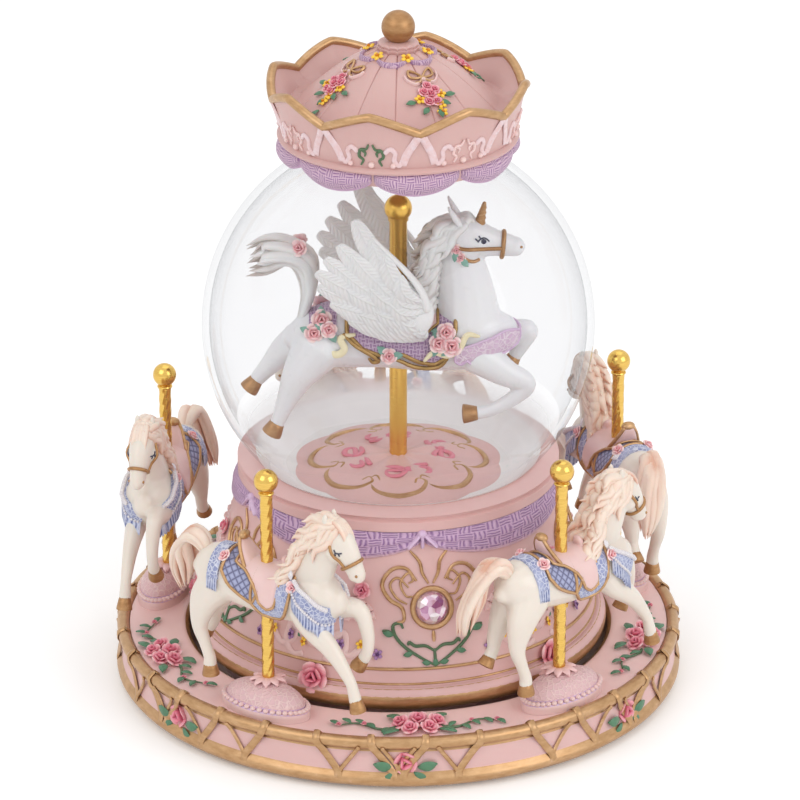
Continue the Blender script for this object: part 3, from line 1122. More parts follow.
def moundPush(radius, height, angle):
    wave = np.abs(np.sin(4 * angle))
    side = np.clip(radius / globe["island"], 0, 1)
    lift = 0.8 * np.sin(4 * angle) ** 2 * np.sin(pi * side) * (height > globe["islandZ"] + 0.9)
    shrink = 0.05 * (1 - wave) * side * (height > globe["islandZ"] + 2.25) * (radius < globe["shore"] + 0.1)
    return radius * (1 - shrink), height + lift, wave


clay = lathe(Clay(), mound, 144, moundPush)


def onMound(x, y, lift=0.15):
    s = min(hypot(x, y) / globe["island"], 0.97)
    return vec(x, y, globe["islandZ"] + 2.35 + (globe["rise"] - 1.6) * 0.92 * sin(pi / 2 * (1 - s)) ** 0.8
        + lift)


lines = []
for k in range(8):
    spin = turnZ(45 * k)
    for path in (((-7.5, -15.5), (-5.5, -20.5), (0, -22.6), (5.5, -20.5), (7.0, -16.5), (5.0, -15.2),
            (4.4, -17.2)), ((-7.5, -15.5), (-5.6, -14.0), (-4.6, -16.2))):
        lines.append(tapered([onMound(*(spin @ vec(x, y, 0))[:2]) for x, y in path], 0.85, 30, 0.6))
clay.lay(lines, "gold", 8, 1)
for k in range(4):
    spin = turnZ(90 * k + 12)
    for side in (-1, 1):
        for path in (((0, -11), (2.6, -13.4), (5.4, -12.6), (5.0, -10.4), (0.4, -11)),
                ((0, -11), (2.4, -9.0), (5.6, -8.6))):
            line = spline([onMound(*(spin @ vec(side * x, y, 0))[:2], 0.35) for x, y in path], 18)
            strip(clay, line, 0.75, 0.4, (0, 0, 1), 2)
    clay.add(*ball(onMound(*(spin @ vec(0, -11, 0))[:2], 0.4), (1.0, 1.0, 0.8), 6, 10), 2)
piece("islandMound", clay, ("pink", "gold", "paleRose", "seal"), "base", ["island"])
rod = [(globe["pole"], 54.6, 0), (globe["pole"], 90.0, 0), (globe["pole"], 123.4, 0), (2.6, 123.9, 0)]
rod += [(globe["ball"] * cos(a), globe["ballZ"] + globe["ball"] * sin(a), 0)
    for a in np.linspace(-0.72, 1.5, 16)]
rod += [(0.0, 130.5, 0), (0.0, 54.6, 0)]
piece("centrePole", lathe(Clay(), rod, 40), ["satinGold"], "base", ["centre_pole"])
print("globe done")


# Canopy: woven scallops, lipped band with pearly relief, gold-edged crown, seamed roof with posies, finial

canopy = {"seat": 26.0, "bandTop": 157.6, "points": 8, "peak": -12.7, "rise": 4.3, "rim": 1.12,
    "roofFoot": 155.5, "roof": 24.8, "neck": 4.8, "roofTop": 169.3, "seams": 14}
bay = 360 / canopy["points"]


def crownLift(angle):  # rounded peaks that meet in sharp valleys
    turn = (np.degrees(angle) - canopy["peak"]) / bay
    near = np.abs(turn - np.round(turn)) * 2
    return canopy["rise"] * (1 - near ** 1.25)


def canopyPush(radius, height, angle):
    share = np.clip((height - 150.0) / (canopy["bandTop"] - 150.0), 0, 1) * (radius > 27.5)
    lift = crownLift(angle) * share ** 1.6
    seam = np.abs(np.sin(angle * canopy["seams"] / 2 + 0.25))
    onRoof = (radius < canopy["roof"] + 0.1) & (height > canopy["roofFoot"]
        - 0.1) & (radius > canopy["neck"] + 0.2)
    cutIn = np.where(onRoof, 0.42 * np.exp(-(seam / (0.9 / np.maximum(radius, 3))) ** 2), 0)
    bulge = np.where(onRoof, 0.22 * seam, 0)
    return radius + 0.1 * lift, height + lift - cutIn + bulge, cutIn


def roofZ(r):
    t = np.clip((canopy["roof"] - r) / (canopy["roof"] - canopy["neck"]), 0, 1)
    return canopy["roofFoot"] + (canopy["roofTop"] - canopy["roofFoot"]) * (0.55 * np.sin(pi / 2 * t)
        + 0.45 * t)


band = [(0.0, 146.2, 0), (canopy["seat"], 142.6, 0), (27.6, 142.8, 0), (28.4, 144.5, 0), (28.6, 146.6, 0),
    (30.1, 146.75, 0), (30.35, 147.3, 0), (29.9, 147.9, 0), (29.3, 148.3, 0), (29.7, 150.2, 0),
    (30.4, 153.0, 0), (31.0, 155.6, 0), (31.8, canopy["bandTop"], 0), (31.3, canopy["bandTop"] + 0.4, 0),
    (30.4, 157.0, 0), (29.0, 155.6, 0), (27.4, 155.3, 0), (canopy["roof"] + 1.2, 155.2, 0)]
band += [(r, float(roofZ(r)), 0) for r in np.linspace(canopy["roof"], canopy["neck"] + 0.3, 26)]
band += [(5.3, 169.5, 0), (5.35, 170.0, 0), (4.85, 170.3, 0), (5.1, 170.7, 0), (4.9, 171.2, 0),
    (4.1, 171.45, 0), (0.0, 171.4, 0)]
clay = lathe(Clay(), band, 560, canopyPush)
a = fullTurn(400)
lift = crownLift(a)
edge = roundAxis(31.5 + 0.1 * lift, a, canopy["bandTop"] + 0.2 + lift)
clay.lay([(edge, canopy["rim"], True)], "gold", 14, 1)

for k in range(canopy["points"]):  # woven scallops under the lip
    u, v = np.meshgrid(np.linspace(0, 1, 31), np.linspace(0, 1, 13))
    turn = np.radians(canopy["peak"] + bay * k + bay * u)
    hang = 2.4 + 3.8 * np.sin(pi * u) ** 0.6
    z = 146.8 - hang * v
    r = 28.4 + 2.6 * np.sin(pi * np.clip(0.12 + 0.84 * v, 0, 1)) * np.sin(pi * u) ** 0.35 - 0.3
    outer = roundAxis(r, turn, z)
    inner = roundAxis(27.0, turn, z)
    cloth = np.stack([turn, v * 6.0, np.clip(0.2 + 0.8 * (v > 0.88), 0, 1)], -1)
    shell(clay, outer, inner, 2, cloth)


def onBand(phi, x, z, out=0.25):
    t = (z - 148.3) / 9.3
    r = 29.3 + 1.0 * t + 1.6 * t * t
    return place(phi + degrees(x / r), r + out, z)


broad = ((12.0, 157.3), (10.2, 154.6), (8.6, 152.0), (7.6, 149.4)), 1.0, 16  # line, size and count
loop = ((3.4, 152.6), (4.8, 153.8), (5.9, 152.6), (5.6, 150.6), (6.6, 149.2), (7.4, 150.0)), 0.62, 20
stem = ((0.5, 154.8), (1.2, 153.4), (2.6, 153.2), (3.0, 151.4), (2.0, 150.4), (2.6, 149.0)), 0.4, 24
twig = ((2.6, 153.2), (1.4, 152.4), (1.6, 151.4)), 0.32, 12
ribbons, beads, curls = [], [], []
for k in range(canopy["points"]):
    phi = canopy["peak"] + bay * k
    for side in (-1, 1):
        for path, size, count in (broad, loop):
            ribbons.append((spline([onBand(phi, side * x, z) for x, z in path], count), size))
        for path, size, count in (stem, twig):
            curls.append(tapered([onBand(phi, side * x, z) for x, z in path], size, count, 0.5))
        beads.append((onBand(phi, side * 5.3, 149.2, 0.3), Euler(), 0.75))
    beads.append((onBand(phi, 0, 149.2, 0.3), Euler(), 0.85))
for line, size in ribbons:
    strip(clay, line, size, 0.36, unit(line * (1, 1, 0)), 8)
clay.strew(dot, beads, "blush", 3)
# green at two opposite points of the crown
clay.lay(curls[0:4] + curls[16:20], "vine", 7, 4).lay(curls[4:16] + curls[20:], "blush", 7, 3)


def onRoof(phi, r, lift=0.2):
    return place(phi, r, float(roofZ(r)) + 0.15 + lift)


random.seed(11)
roses, suns, leaves, bows, loops = [], [], [], [], []
for k in range(4):
    phi = 27 + 90 * k
    up = unit(place(phi, 0.6, 1))
    for dp, r, size in ((0, 17.4, 1.8), (5, 16.6, 1.6), (-5, 16.8, 1.6), (2.5, 19.1, 1.6),
            (-3.5, 18.9, 1.5), (0, 15.4, 1.4)):
        roses.append((onRoof(phi + dp, r, 0.5), spunOn(up, random.uniform(0, 90)), size))
    for dp, r in ((9, 17.6), (-10, 18.2), (3.5, 21.4), (5, 19.8)):
        suns.append((onRoof(phi + dp, r, 0.4), spunOn(up, random.uniform(0, 60)), 1.5))
    for dp, r, spin in ((13, 18, -90), (-13.5, 18.6, 90), (5, 23.2, 180), (6, 19, -120), (-5, 20, 130),
            (2, 20.6, 180)):
        leaves.append((onRoof(phi + dp, r, 0.3), spunOn(up, spin), 2.6))
    for side in (-1, 1):
        bows += [tapered([onRoof(phi + side * dp, r, 0.5) for dp, r in path], 0.36, 20, 0.6)
            for path in (((0, 13.0), (8, 11.6), (15, 11.2), (14, 12.8), (7, 13.2), (0, 13.0)),
            ((0, 13.0), (5, 14.2), (10, 14.2)))]
        loops.append((spline([onRoof(phi + side * dp, r, 0.3)
            for dp, r in ((0, 13.4), (9, 14.6), (17, 13.6), (20, 12.4))], 14), 0.55))
for k in range(6):
    phi = 17 + 60 * k
    up = unit(place(phi, 0.4, 1))
    suns.append((onRoof(phi, 7.4, 0.5), spunOn(up, 20 * k), 1.7))
    u = np.linspace(0, 1, 18)
    swag = [onRoof(phi + 60 * s, 7.6 + 1.9 * sin(pi * s), 0.15) for s in u]
    clay.add(*tube(swag, 0.35 + 0.75 * np.sin(pi * u), 0.5, 8, across=(0, 0, 1)), 2, None)
    clay.cloth[-1] = np.stack([clay.points[-1][:, 0] * 0.05, clay.points[-1][:, 1] * 1.5,
        0 * clay.points[-1][:, 0]], -1)
for line, size in loops:
    clay.add(*tube(line, size, 0.3, 8, across=(0, 0, 1)), 3)
clay.lay(bows, "gold", 7, 1).strew(rose, roses, "rose", 5)
clay.strew(daisy, suns, "yellow", 6).strew(leaf, leaves, "leaf", 7)
names = ["pinkRoof", "gold", "drapes", "blush", "vine", "rose", "yellow", "leaf", "shimmer"]
piece("canopyCast", clay, names, "base", ["canopy"])
knob = [(4.2 * cos(a), 174.95 + 4.2 * sin(a), 0) for a in np.linspace(-1.25, 1.5, 22)]
knob += [(0.0, 179.14, 0), (0.0, 171.0, 0), (1.3, 171.0, 0)]
piece("finialBall", lathe(Clay(), knob, 56), ["bronze"], "base", ["finial"])
print("canopy done")


# Figures: bodies melted from limbs, hair in locks, cloths wrapped round the trunk

def across(stations, x, column):
    table = np.array(sorted(stations))
    return np.interp(x, table[:, 0], table[:, column])


# angle in degrees from the back ridge, positive to -Y, the outward side
def onTrunk(trunk, x, angle, lift):
    a = np.radians(angle)
    y = -(across(trunk, x, 3) + lift) * np.sin(a)
    return np.stack([x + 0 * a, y, across(trunk, x, 2) + (across(trunk, x, 4) + lift) * np.cos(a)], -1)


def wrap(clay, trunk, outline, finish, lift=0.55, edge=None, size=0.42, rows=14, columns=34):
    # a cloth between two angle limits along the trunk; outline holds (x, low angle, high angle)
    table = np.array(outline, float)
    x = np.linspace(table[0, 0], table[-1, 0], rows)
    low, high = np.interp(x, table[:, 0], table[:, 1]), np.interp(x, table[:, 0], table[:, 2])
    share = np.linspace(0, 1, columns)
    angle = low[:, None] + (high - low)[:, None] * share
    spread = np.repeat(x[:, None], columns, 1)
    outer, inner = onTrunk(trunk, spread, angle, lift), onTrunk(trunk, spread, angle, -0.6)
    cloth = np.stack([spread, angle * 0.115, 0 * angle], -1)
    shell(clay, outer, inner, finish, cloth)
    if edge is not None:
        border = np.concatenate([outer[:, 0], outer[-1, 1:], outer[-2::-1, -1], outer[0, -2:0:-1]])
        clay.lay([(border, size, True)], "gold", 7, edge)


# one lock of hair; what turns away from face takes the under colour
def lock(clay, line, wide, finish, face):
    sides = 8
    points, faces = tube(line, wide, np.asarray(wide) * 0.75, sides)
    rings = points[:-2].reshape(-1, sides, 3)
    tone = np.append((unit(rings - rings.mean(1, keepdims=True)) @ unit(face)).ravel(), (0, 0))
    clay.add(points, faces, finish, np.stack([0 * tone, 0 * tone, tone], -1))


# a wavy lock that ends in a point
def curl(clay, root, run, sway, size, finish, face, turns=1.2, phase=0.0):
    t = np.linspace(0, 1, 16)
    bend = (np.sin(2 * pi * turns * t + phase) - sin(phase)) * t ** 0.5
    line = np.asarray(root) + np.outer(t, run) + np.outer(bend, sway)
    lock(clay, line, size * (0.6 + 0.4 * np.sin(pi * (0.1 + 0.75 * t))) * (1 - t ** 3) + 0.1, finish, face)


def sideLocks(clay, root, hair):  # two layers of locks down each side of the neck
    for side in (-1, 1):
        for lay in range(2):
            long = random.uniform(0.85, 1.2)
            ahead, out, up = np.array(hair["first"]) + np.array(hair["second"]) * lay
            start = root + vec(ahead, side * out, up)
            drop = (hair["drop"][0] + hair["drop"][1] * lay) * long
            back = min(hair["back"] * long, root[0] - hair["front"])
            beside = np.interp(start[2] - drop, hair["heights"], hair["beside"])
            curl(clay, start, (-back, side * beside - start[1], -drop), hair["sway"], hair["size"], 2,
                 (-0.3, side, 0.6), random.uniform(0.9, 1.3), random.uniform(0, 6.28))


def tress(clay, path, size, finish, face, count=18):  # a long lock through given points
    t = np.linspace(0, 1, count)
    lock(clay, spline(path, count), size * (0.5 + 0.5 * np.sin(pi * (0.15 + 0.7 * t)))
        * (1 - 0.95 * t ** 5), finish, face)


def skinOf(mesh):  # for laying straps and eyes on a figure
    return BVHTree.FromPolygons([v.co for v in mesh.vertices], [tuple(f.vertices) for f in mesh.polygons])


def cling(skin, path, side, lift, count=14):  # a line drawn on the side view, laid on the skin
    line = []
    for x, z in spline(path, count):
        hit = skin.ray_cast(Vector((x, side * 40, z)) * mm, Vector((0, -side, 0)))[0]
        if hit is not None:
            line.append(np.array(hit) / mm + vec(0, side * lift, 0))
    return np.array(line)


def hoof(clay, ankle, toe, size, finish):
    a, b = np.array(ankle, float), np.array(toe, float)
    line = np.stack([a + (b - a) * s for s in (0.0, 0.35, 0.75, 1.0)])
    clay.add(*tube(line, size * vec(0.86, 1.0, 1.16, 1.2), None, 14, roundEnd=0.15), finish)


horse = {"voxel": 0.42, "soften": 5, "forelock": 8, "tail": 20, "pearls": 20, "first": (1.0, 0.7, -0.2),
    "second": (-0.9, 1.2, -1.4), "drop": (4.4, 2.4), "back": 5.0, "front": 3.4,
    "heights": (27, 30, 35.5, 41, 46), "beside": (6.6, 5.6, 4.4, 3.8, 3.6), "sway": (0.75, 0, -0.55),
    "size": 1.6}
horseTrunk = [(21, 0, 28, 3, 3.6), (18.5, 0, 27.8, 5.2, 6.2), (14, 0, 27.4, 6.2, 7.4),
    (8, 0, 26.8, 6.2, 7.0), (2, 0, 26.4, 6.1, 6.6), (-4, 0, 27, 6.3, 6.6), (-10, 0, 28.3, 6.7, 7),
    (-15, 0, 28.8, 6.3, 6.4), (-18.2, 0, 28.4, 4.6, 4.6), (-20, 0, 28, 2.2, 2.4)]
horseForms = [
    horseTrunk,
    [(11.5, 0, 29.5, 4.6, 6.8), (14, 0, 35.5, 3.8, 5.6), (16.6, 0, 40.6, 3.3, 4.8),
        (18.6, 0, 44.6, 3.1, 4.3), (19.6, 0, 46.8, 2.7, 3.3)],
    [(19.0, 0, 46.6, 2.8, 3.4), (21.4, 0, 44.0, 3.2, 4.1), (23.5, 0, 41.3, 2.8, 3.5),
        (25.2, 0, 38.7, 2.2, 2.7), (26.2, 0, 37.0, 2.0, 2.3), (27.0, 0, 35.7, 1.6, 1.7)],
    [(12.5, -2.6, 25, 4.1, 4.4), (15.5, -3.4, 21, 3.1, 3.4), (21.6, -3.6, 15.6, 2.1, 2.3),
        (26.3, -3.6, 9.2, 1.45, 1.5), (27.4, -3.6, 6.2, 1.5, 1.55), (28, -3.6, 3.9, 1.6, 1.7)],
    [(14, 2.6, 26, 4.0, 4.2), (18.5, 3.6, 24.8, 3.0, 3.1), (24.5, 3.8, 25, 2.2, 2.3),
        (26.9, 3.8, 19.5, 1.7, 1.8), (27, 3.8, 15, 1.5, 1.5), (25.8, 3.8, 12, 1.6, 1.7)],
    [(-12.5, -2.6, 26, 4.9, 5.4), (-16, -3.6, 21, 3.6, 4.2), (-17.7, -3.9, 14, 2.0, 2.3),
        (-16.2, -3.9, 9, 1.5, 1.6), (-14.9, -3.9, 5.4, 1.55, 1.6), (-14.8, -3.9, 3.4, 1.7, 1.8)],
    [(-13, 2.6, 26, 4.7, 5.0), (-15.8, 3.6, 20, 3.3, 3.6), (-18.2, 3.9, 14.5, 2.0, 2.2),
        (-18.6, 3.9, 11.8, 1.6, 1.7), (-20, 3.9, 9.4, 1.7, 1.8)]]
horseHooves = [((28.0, -3.6, 4.4), (28.7, -3.6, 1.3), 1.75), ((25.8, 3.8, 12.2), (24.0, 3.8, 9.3), 1.75),
    ((-14.8, -3.9, 3.6), (-14.6, -3.9, 0.6), 1.85), ((-19.8, 3.9, 9.8), (-21.4, 3.9, 7.6), 1.8)]


def figureBody(forms, balls, voxel, soften):
    lump = Clay()
    for form in forms:
        lump.add(*limb(form))
    for centre, size in balls:
        lump.add(*ball(centre, size, 12, 16))
    return moulded(lump, voxel, soften)


horseFaces = [((20.9, s * 1.2, 42.2), 2.8) for s in (-1, 1)]
horseFaces += [((26.3, 0, 36.8), (2.2, 2.2, 2.0)), ((25.4, 0, 35.9), (1.3, 1.6, 1.2)),
    ((23.9, 0, 43.2), (2.0, 2.2, 2.2)), ((15.5, -3.2, 27.5), (4.4, 3.4, 4.8)),
    ((15.5, 3.2, 27.5), (4.4, 3.4, 4.8)), ((-13, -3, 28), (5, 4, 5.4)), ((-13, 3, 28), (5, 4, 5.4))]
horseFaces += [((18.4, s * 2.0, 49.6), (0.9, 0.8, 2.2)) for s in (-1, 1)]
body = figureBody(horseForms, horseFaces, horse["voxel"], horse["soften"])
skin = skinOf(body)
clay = Clay().addMesh(body, 0)
for ankle, toe, size in horseHooves:
    hoof(clay, ankle, toe, size, 1)
random.seed(5)
crest = spline([(20.8, 0, 49.0), (18.4, 0, 49.8), (15.2, 0, 47.6), (12.6, 0, 43.6), (10.4, 0, 39.2),
    (8.6, 0, 35.0)], 13)
for root, way, fall in zip(crest, unit(np.gradient(crest, axis=0)), [4.6, 3.6, 2.2, 1.0] + [-0.4] * 9):
    sideLocks(clay, root, horse)
    for y in (-1.5, 0, 1.5):  # over the ridge, running down the neck
        long = random.uniform(0.8, 1.25)
        run = unit(way * 7.0 + vec(-2.4, y * 0.8, -fall)) * 6.8 * long
        run[0] = max(run[0], 3.6 - root[0])
        curl(clay, root + vec(0.2, y * 0.8, 0.2 - 0.3 * abs(y)), run, (-0.5, 0.55, 0.5), horse["size"], 2,
            (-0.4, y * 0.4, 1), random.uniform(0.9, 1.3), random.uniform(0, 6.28))
for k in range(horse["forelock"]):
    a = random.uniform(-1, 1)
    tress(clay, [(18.8, a, 49.6), (21.2, a * 1.4, 49.4), (23.4, a * 1.6, 47.2),
        (24.4 + a * 0.4, a * 2.0, 44.8)], 0.85, 2, (1, 0, 0.6))
tailLine = [(-17.0, 0, 31.4), (-19.6, 0, 35.2), (-23.2, 0.6, 35.6), (-25.9, 2.0, 31.0), (-26.8, 3.4, 25.0),
    (-27.8, 4.4, 18.6)]
for k in range(horse["tail"]):
    a, b = random.uniform(0, 6.28), random.uniform(0.35, 1)
    swell = np.array([0.3, 1.4, 2.2, 2.7, 2.6, 1.7]) * b
    ripple = [0.8 * sin(1.9 * j + a) * (j > 1) for j in range(6)]
    path = [np.array(q) + vec(cos(a) * s + w, sin(a) * s, 0.7 * cos(a) * s)
        for q, s, w in zip(tailLine, swell, ripple)]
    tress(clay, path, 1.7, 2, (cos(a), sin(a), 0.7 * cos(a)), 20)
trunk = horseTrunk
wrap(clay, trunk, [(-9.4, -62, 62), (-7, -84, 84), (-3.5, -96, 96), (-0.4, -106, 106), (1.8, -70, 70),
    (3.6, -38, 38)], 3, 0.5, 5, 0.45)
wrap(clay, trunk, [(-0.6, -104, 104), (1.6, -128, 128), (4.6, -134, 134), (7.6, -130, 130),
    (9.6, -106, 106), (10.7, -60, 60)], 4, 0.55, 5, 0.45)
wrap(clay, trunk, [(-6.4, -34, 34), (-3, -42, 42), (0.4, -66, 66), (2.2, -98, 98), (4.4, -108, 108),
    (6.4, -98, 98), (7.3, -40, 40)], 6, 1.0, 5, 0.4)
cantle = [(-3.8, 0, 33.0), (-5.2, 0, 35.2), (-6.4, 0, 37.4), (-7.0, 0, 39.0)]
line = spline(cantle, 12)
clay.add(*tube(line, np.linspace(4.2, 1.6, 12), np.linspace(1.5, 0.7, 12), 14, across=(0, 1, 0)), 6)
for side in (-1, 1):
    rimLine = spline([(-3.8, side * 4.3, 33.0), (-5.2, side * 3.4, 35.2), (-6.4, side * 2.4, 37.4),
        (-7.0, side * 1.4, 39.2)], 14)
    clay.add(*tube(rimLine, 0.5, None, 8), 5)
clay.add(*ball((-6.5, 0, 39.6), (1.3, 1.9, 1.2), 10, 14), 5)
clay.add(*tube(spline([(5.4, 0, 32.2), (6.0, 0, 34.4), (5.4, 0, 36.0)], 9), np.linspace(2.6, 1.2, 9),
    np.linspace(1.2, 0.8, 9), 12, across=(0, 1, 0)), 6)
breastLine = [(11.2, 44, 64), (13.4, 58, 86), (16.0, 68, 104), (18.4, 80, 126), (20.6, 96, 170)]
for side in (-1, 1):
    wrap(clay, trunk, [(x, side * a, side * b) for x, a, b in breastLine], 7, 1.35, None, 0.4, 16, 12)
wrap(clay, trunk, [(-13.4, -88, 88), (-10.2, -84, 84)], 7, 0.6, None, 0.4)
pearls = []
hemX, topTurn, hemTurn = zip(*breastLine)
for side in (-1, 1):
    x, v = np.meshgrid(np.linspace(11.5, 20.5, 55), np.linspace(0, 1, 5), indexing="ij")
    hem = onTrunk(trunk, x, side * np.interp(x, hemX, hemTurn) * 0.96, 1.5)
    long = 3.4 + 0.5 * np.cos(np.arange(55) * pi)[:, None] + 0.4 * np.sin(1.7 * x)
    outer = hem + np.stack([0.12 * v, -side * 0.35 * v, -long * v], -1)
    shell(clay, outer, outer + vec(-0.2, side * 0.45, 0), 12, np.stack([x, v, 0 * v], -1))
    for x in np.linspace(11.5, 20.4, horse["pearls"]):
        pearls.append((onTrunk(trunk, x, side * np.interp(x, hemX, topTurn), 1.6), Euler(), 0.62))
        pearls.append((onTrunk(trunk, x, side * np.interp(x, hemX, hemTurn) * 0.95, 1.6), Euler(), 0.38))
    x, v = np.meshgrid(np.linspace(-13.3, -10.3, 17), np.linspace(0, 1, 4), indexing="ij")
    hem = onTrunk(trunk, x, side * 84.0 + 0 * x, 0.8)
    outer = hem + np.stack([0 * v, -side * 0.2 * v, -(2.8 + 0.4 * np.cos(np.arange(17) * pi)[:, None])
        * v], -1)
    shell(clay, outer, outer + vec(0, side * 0.4, 0), 12, np.stack([x, v, 0 * v], -1))
clay.strew(dot, pearls, "frill", 8)
strap, lashes = [], []
for side in (-1, 1):
    strap.append((cling(skin, [(19.4, 46.6), (20.8, 43.6), (22.8, 40.6), (24.4, 38.4)], side, 0.15), 0.42,
        False))
    for path in ([(21.8, 43.5), (22.3, 42.8), (23.0, 42.6), (23.7, 42.8)],
            [(22.2, 42.9), (22.2, 42.5), (22.3, 42.1)], [(22.9, 42.6), (23.0, 42.2), (23.2, 41.9)]):
        lashes.append((cling(skin, path, side, 0.05, 8), 0.2, False))
    clay.add(*ball(cling(skin, [(27.2, 37.0), (27.3, 36.9)], side, 0.0, 2)[0], (0.4, 0.3, 0.4), 6, 8), 9)
nose = [vec(24.9, 0, 39.1) + vec(0.83, 0, 0.55) * 2.95 * cos(a) + vec(0, 2.5, 0) * sin(a)
    for a in fullTurn(24)]
clay.lay(strap + [(np.array(nose), 0.45, True)], "bronze", 7, 9).lay(lashes, "ink", 6, 10)
posy = [((11.4, s * 5.9, 31.8), spunOn((0.2, s, 0.3), 20), 1.9) for s in (-1, 1)]
posy += [((-9.6, s * 4.2, 34.6), spunOn((-0.3, s * 0.6, 0.8), 50), 1.8) for s in (-1, 1)]
clay.strew(rose, posy, "paleRose", 11)
sprig = [((-11.6, s * 4.6, 33.8), spunOn((-0.4, s * 0.7, 0.7), 120), 2.4) for s in (-1, 1)]
sprig += [((10.6, s * 5.6, 33.6), spunOn((0, s, 0.4), 10), 2.2) for s in (-1, 1)]
clay.strew(leaf, sprig, "frill", 8)
coat = ("ivory", "bronze", "mane", "quilt", "lace", "gold", "blush", "lace", "frill", "bronze", "ink",
    "paleRose", "fringe")
for number in range(1, 6):
    phi = stand["start"] + fifth * (number - 1)
    one = Clay().addClay(clay, turnZ(phi), place(phi, stand["pole"], stand["hoofZ"]))
    piece(f"horse{number}", one, coat, "carousel", [f"horse_{number}"], sharp=60)
print("horses done")


# Winged unicorn inside the globe, about the globe's centre

unicorn = {"voxel": 0.5, "soften": 5, "forelock": 8, "tail": 24, "first": (2.0, 1.0, -0.3),
    "second": (-0.8, 1.6, -1.0), "drop": (4.6, 2.8), "back": 6.4, "front": -90,
    "heights": (-4, 2, 9, 17, 24), "beside": (7.0, 6.6, 5.6, 4.8, 4.4), "sway": (0.9, 0, -0.7), "size": 1.9}
middle = vec(0, 0, globe["z"])
trunk = [(28, 0, -2, 3.6, 4.6), (24, 0, -2.6, 6.2, 7.2), (19, 0, -3.2, 7.4, 8.6), (12, 0, -4, 7.5, 8.6),
    (5, 0, -4.5, 7.3, 8.0), (-3, 0, -4.2, 7.0, 7.6), (-11, 0, -3.8, 7.1, 7.9), (-18, 0, -3.2, 7.2, 8.2),
    (-24, 0, -3.4, 5.6, 6.2), (-27.4, 0, -3.5, 2.8, 3.2)]
forms = [
    trunk,
    [(17.5, 0, 1, 6.6, 9.0), (17, 0, 9, 5.2, 7.4), (15.8, 0, 17, 4.2, 6.0), (14.8, 0, 23, 3.6, 5.0),
        (14.4, 0, 26, 3.0, 4.0)],
    [(13.4, 0, 25.4, 3.3, 3.9), (17.0, 0, 23.9, 4.2, 5.0), (20.6, 0, 22.7, 3.9, 4.6),
        (24.2, 0, 21.9, 3.1, 3.6), (27.4, 0, 21.3, 2.7, 3.0), (30.0, 0, 20.7, 2.3, 2.4)],
    [(20, -3, -7, 5.0, 5.4), (27, -4.2, -11.8, 3.3, 3.7), (32.6, -4.4, -14.8, 2.4, 2.6),
        (29.6, -4.4, -18.6, 1.9, 2.1), (24, -4.4, -22.0, 1.6, 1.7), (19.6, -4.4, -23, 1.7, 1.8)],
    [(21, 3, -6, 5.0, 5.2), (27, 4.2, -4.6, 3.4, 3.6), (33.2, 4.4, -3.6, 2.5, 2.6),
        (32.0, 4.4, -7, 2.0, 2.1), (29.6, 4.4, -11, 1.7, 1.8)],
    [(-20, -3, -5, 6.4, 7.0), (-25, -4.4, -12, 4.0, 4.6), (-28, -4.4, -18.6, 2.5, 2.9),
        (-30.2, -4.4, -24, 1.9, 2.0), (-31.0, -4.4, -26, 1.9, 2.0)],
    [(-20, 3, -4, 6.4, 7.0), (-28, 4.2, -8.5, 4.0, 4.4), (-33.2, 4, -13.6, 2.4, 2.6),
        (-36.4, 3.8, -17.2, 1.9, 2.0)]]
lumps = [((17.4, s * 1.8, 21.4), (3.3, 2.6, 3.1)) for s in (-1, 1)]
lumps += [((29.4, 0, 20.9), (2.7, 2.6, 2.6)), ((23.0, 0, 24.8), (2.2, 2.2, 1.2))]
lumps += [((20, s * 3.6, -4), (5, 3.8, 5.5)) for s in (-1, 1)]
lumps += [((-19, s * 3.4, -3), (6, 4, 6)) for s in (-1, 1)]
# ears
forms += [[(16.4, s * 2.6, 26.4, 1.0, 0.9), (14.8, s * 3.2, 28.8, 1.5, 0.9),
    (13.4, s * 3.7, 31.2, 1.1, 0.7), (12.4, s * 4.0, 33.2, 0.4, 0.4)] for s in (-1, 1)]
body = figureBody(forms, lumps, unicorn["voxel"], unicorn["soften"])
skin = skinOf(body)
clay = Clay().addMesh(body, 0)
for ankle, toe, size in (((20.2, -4.4, -23), (16.6, -4.4, -23.2), 2.1),
        ((29.8, 4.4, -10.8), (28.0, 4.4, -13.8), 2.0), ((-30.8, -4.4, -25.6), (-32.4, -4.4, -28.6), 2.2),
        ((-36.2, 3.8, -17.0), (-38.4, 3.6, -19.8), 2.1)):
    hoof(clay, ankle, toe, size, 1)
horn = np.stack([vec(20.2, 0, 26.0) + s * vec(1.5, 0, 6.6) for s in np.linspace(0, 1, 16)])
clay.add(*tube(horn, np.linspace(1.6, 0.5, 16), None, 12), 1)
turns = np.linspace(0, 1, 60)
helix = [vec(20.2, 0, 26.0) + s * vec(1.5, 0, 6.4) + (1.5 - 0.95 * s) * vec(cos(30 * s), sin(30 * s), 0)
    for s in turns]
clay.lay([(np.array(helix), 0.26 - 0.12 * turns, False)], "gold", 6, 12)

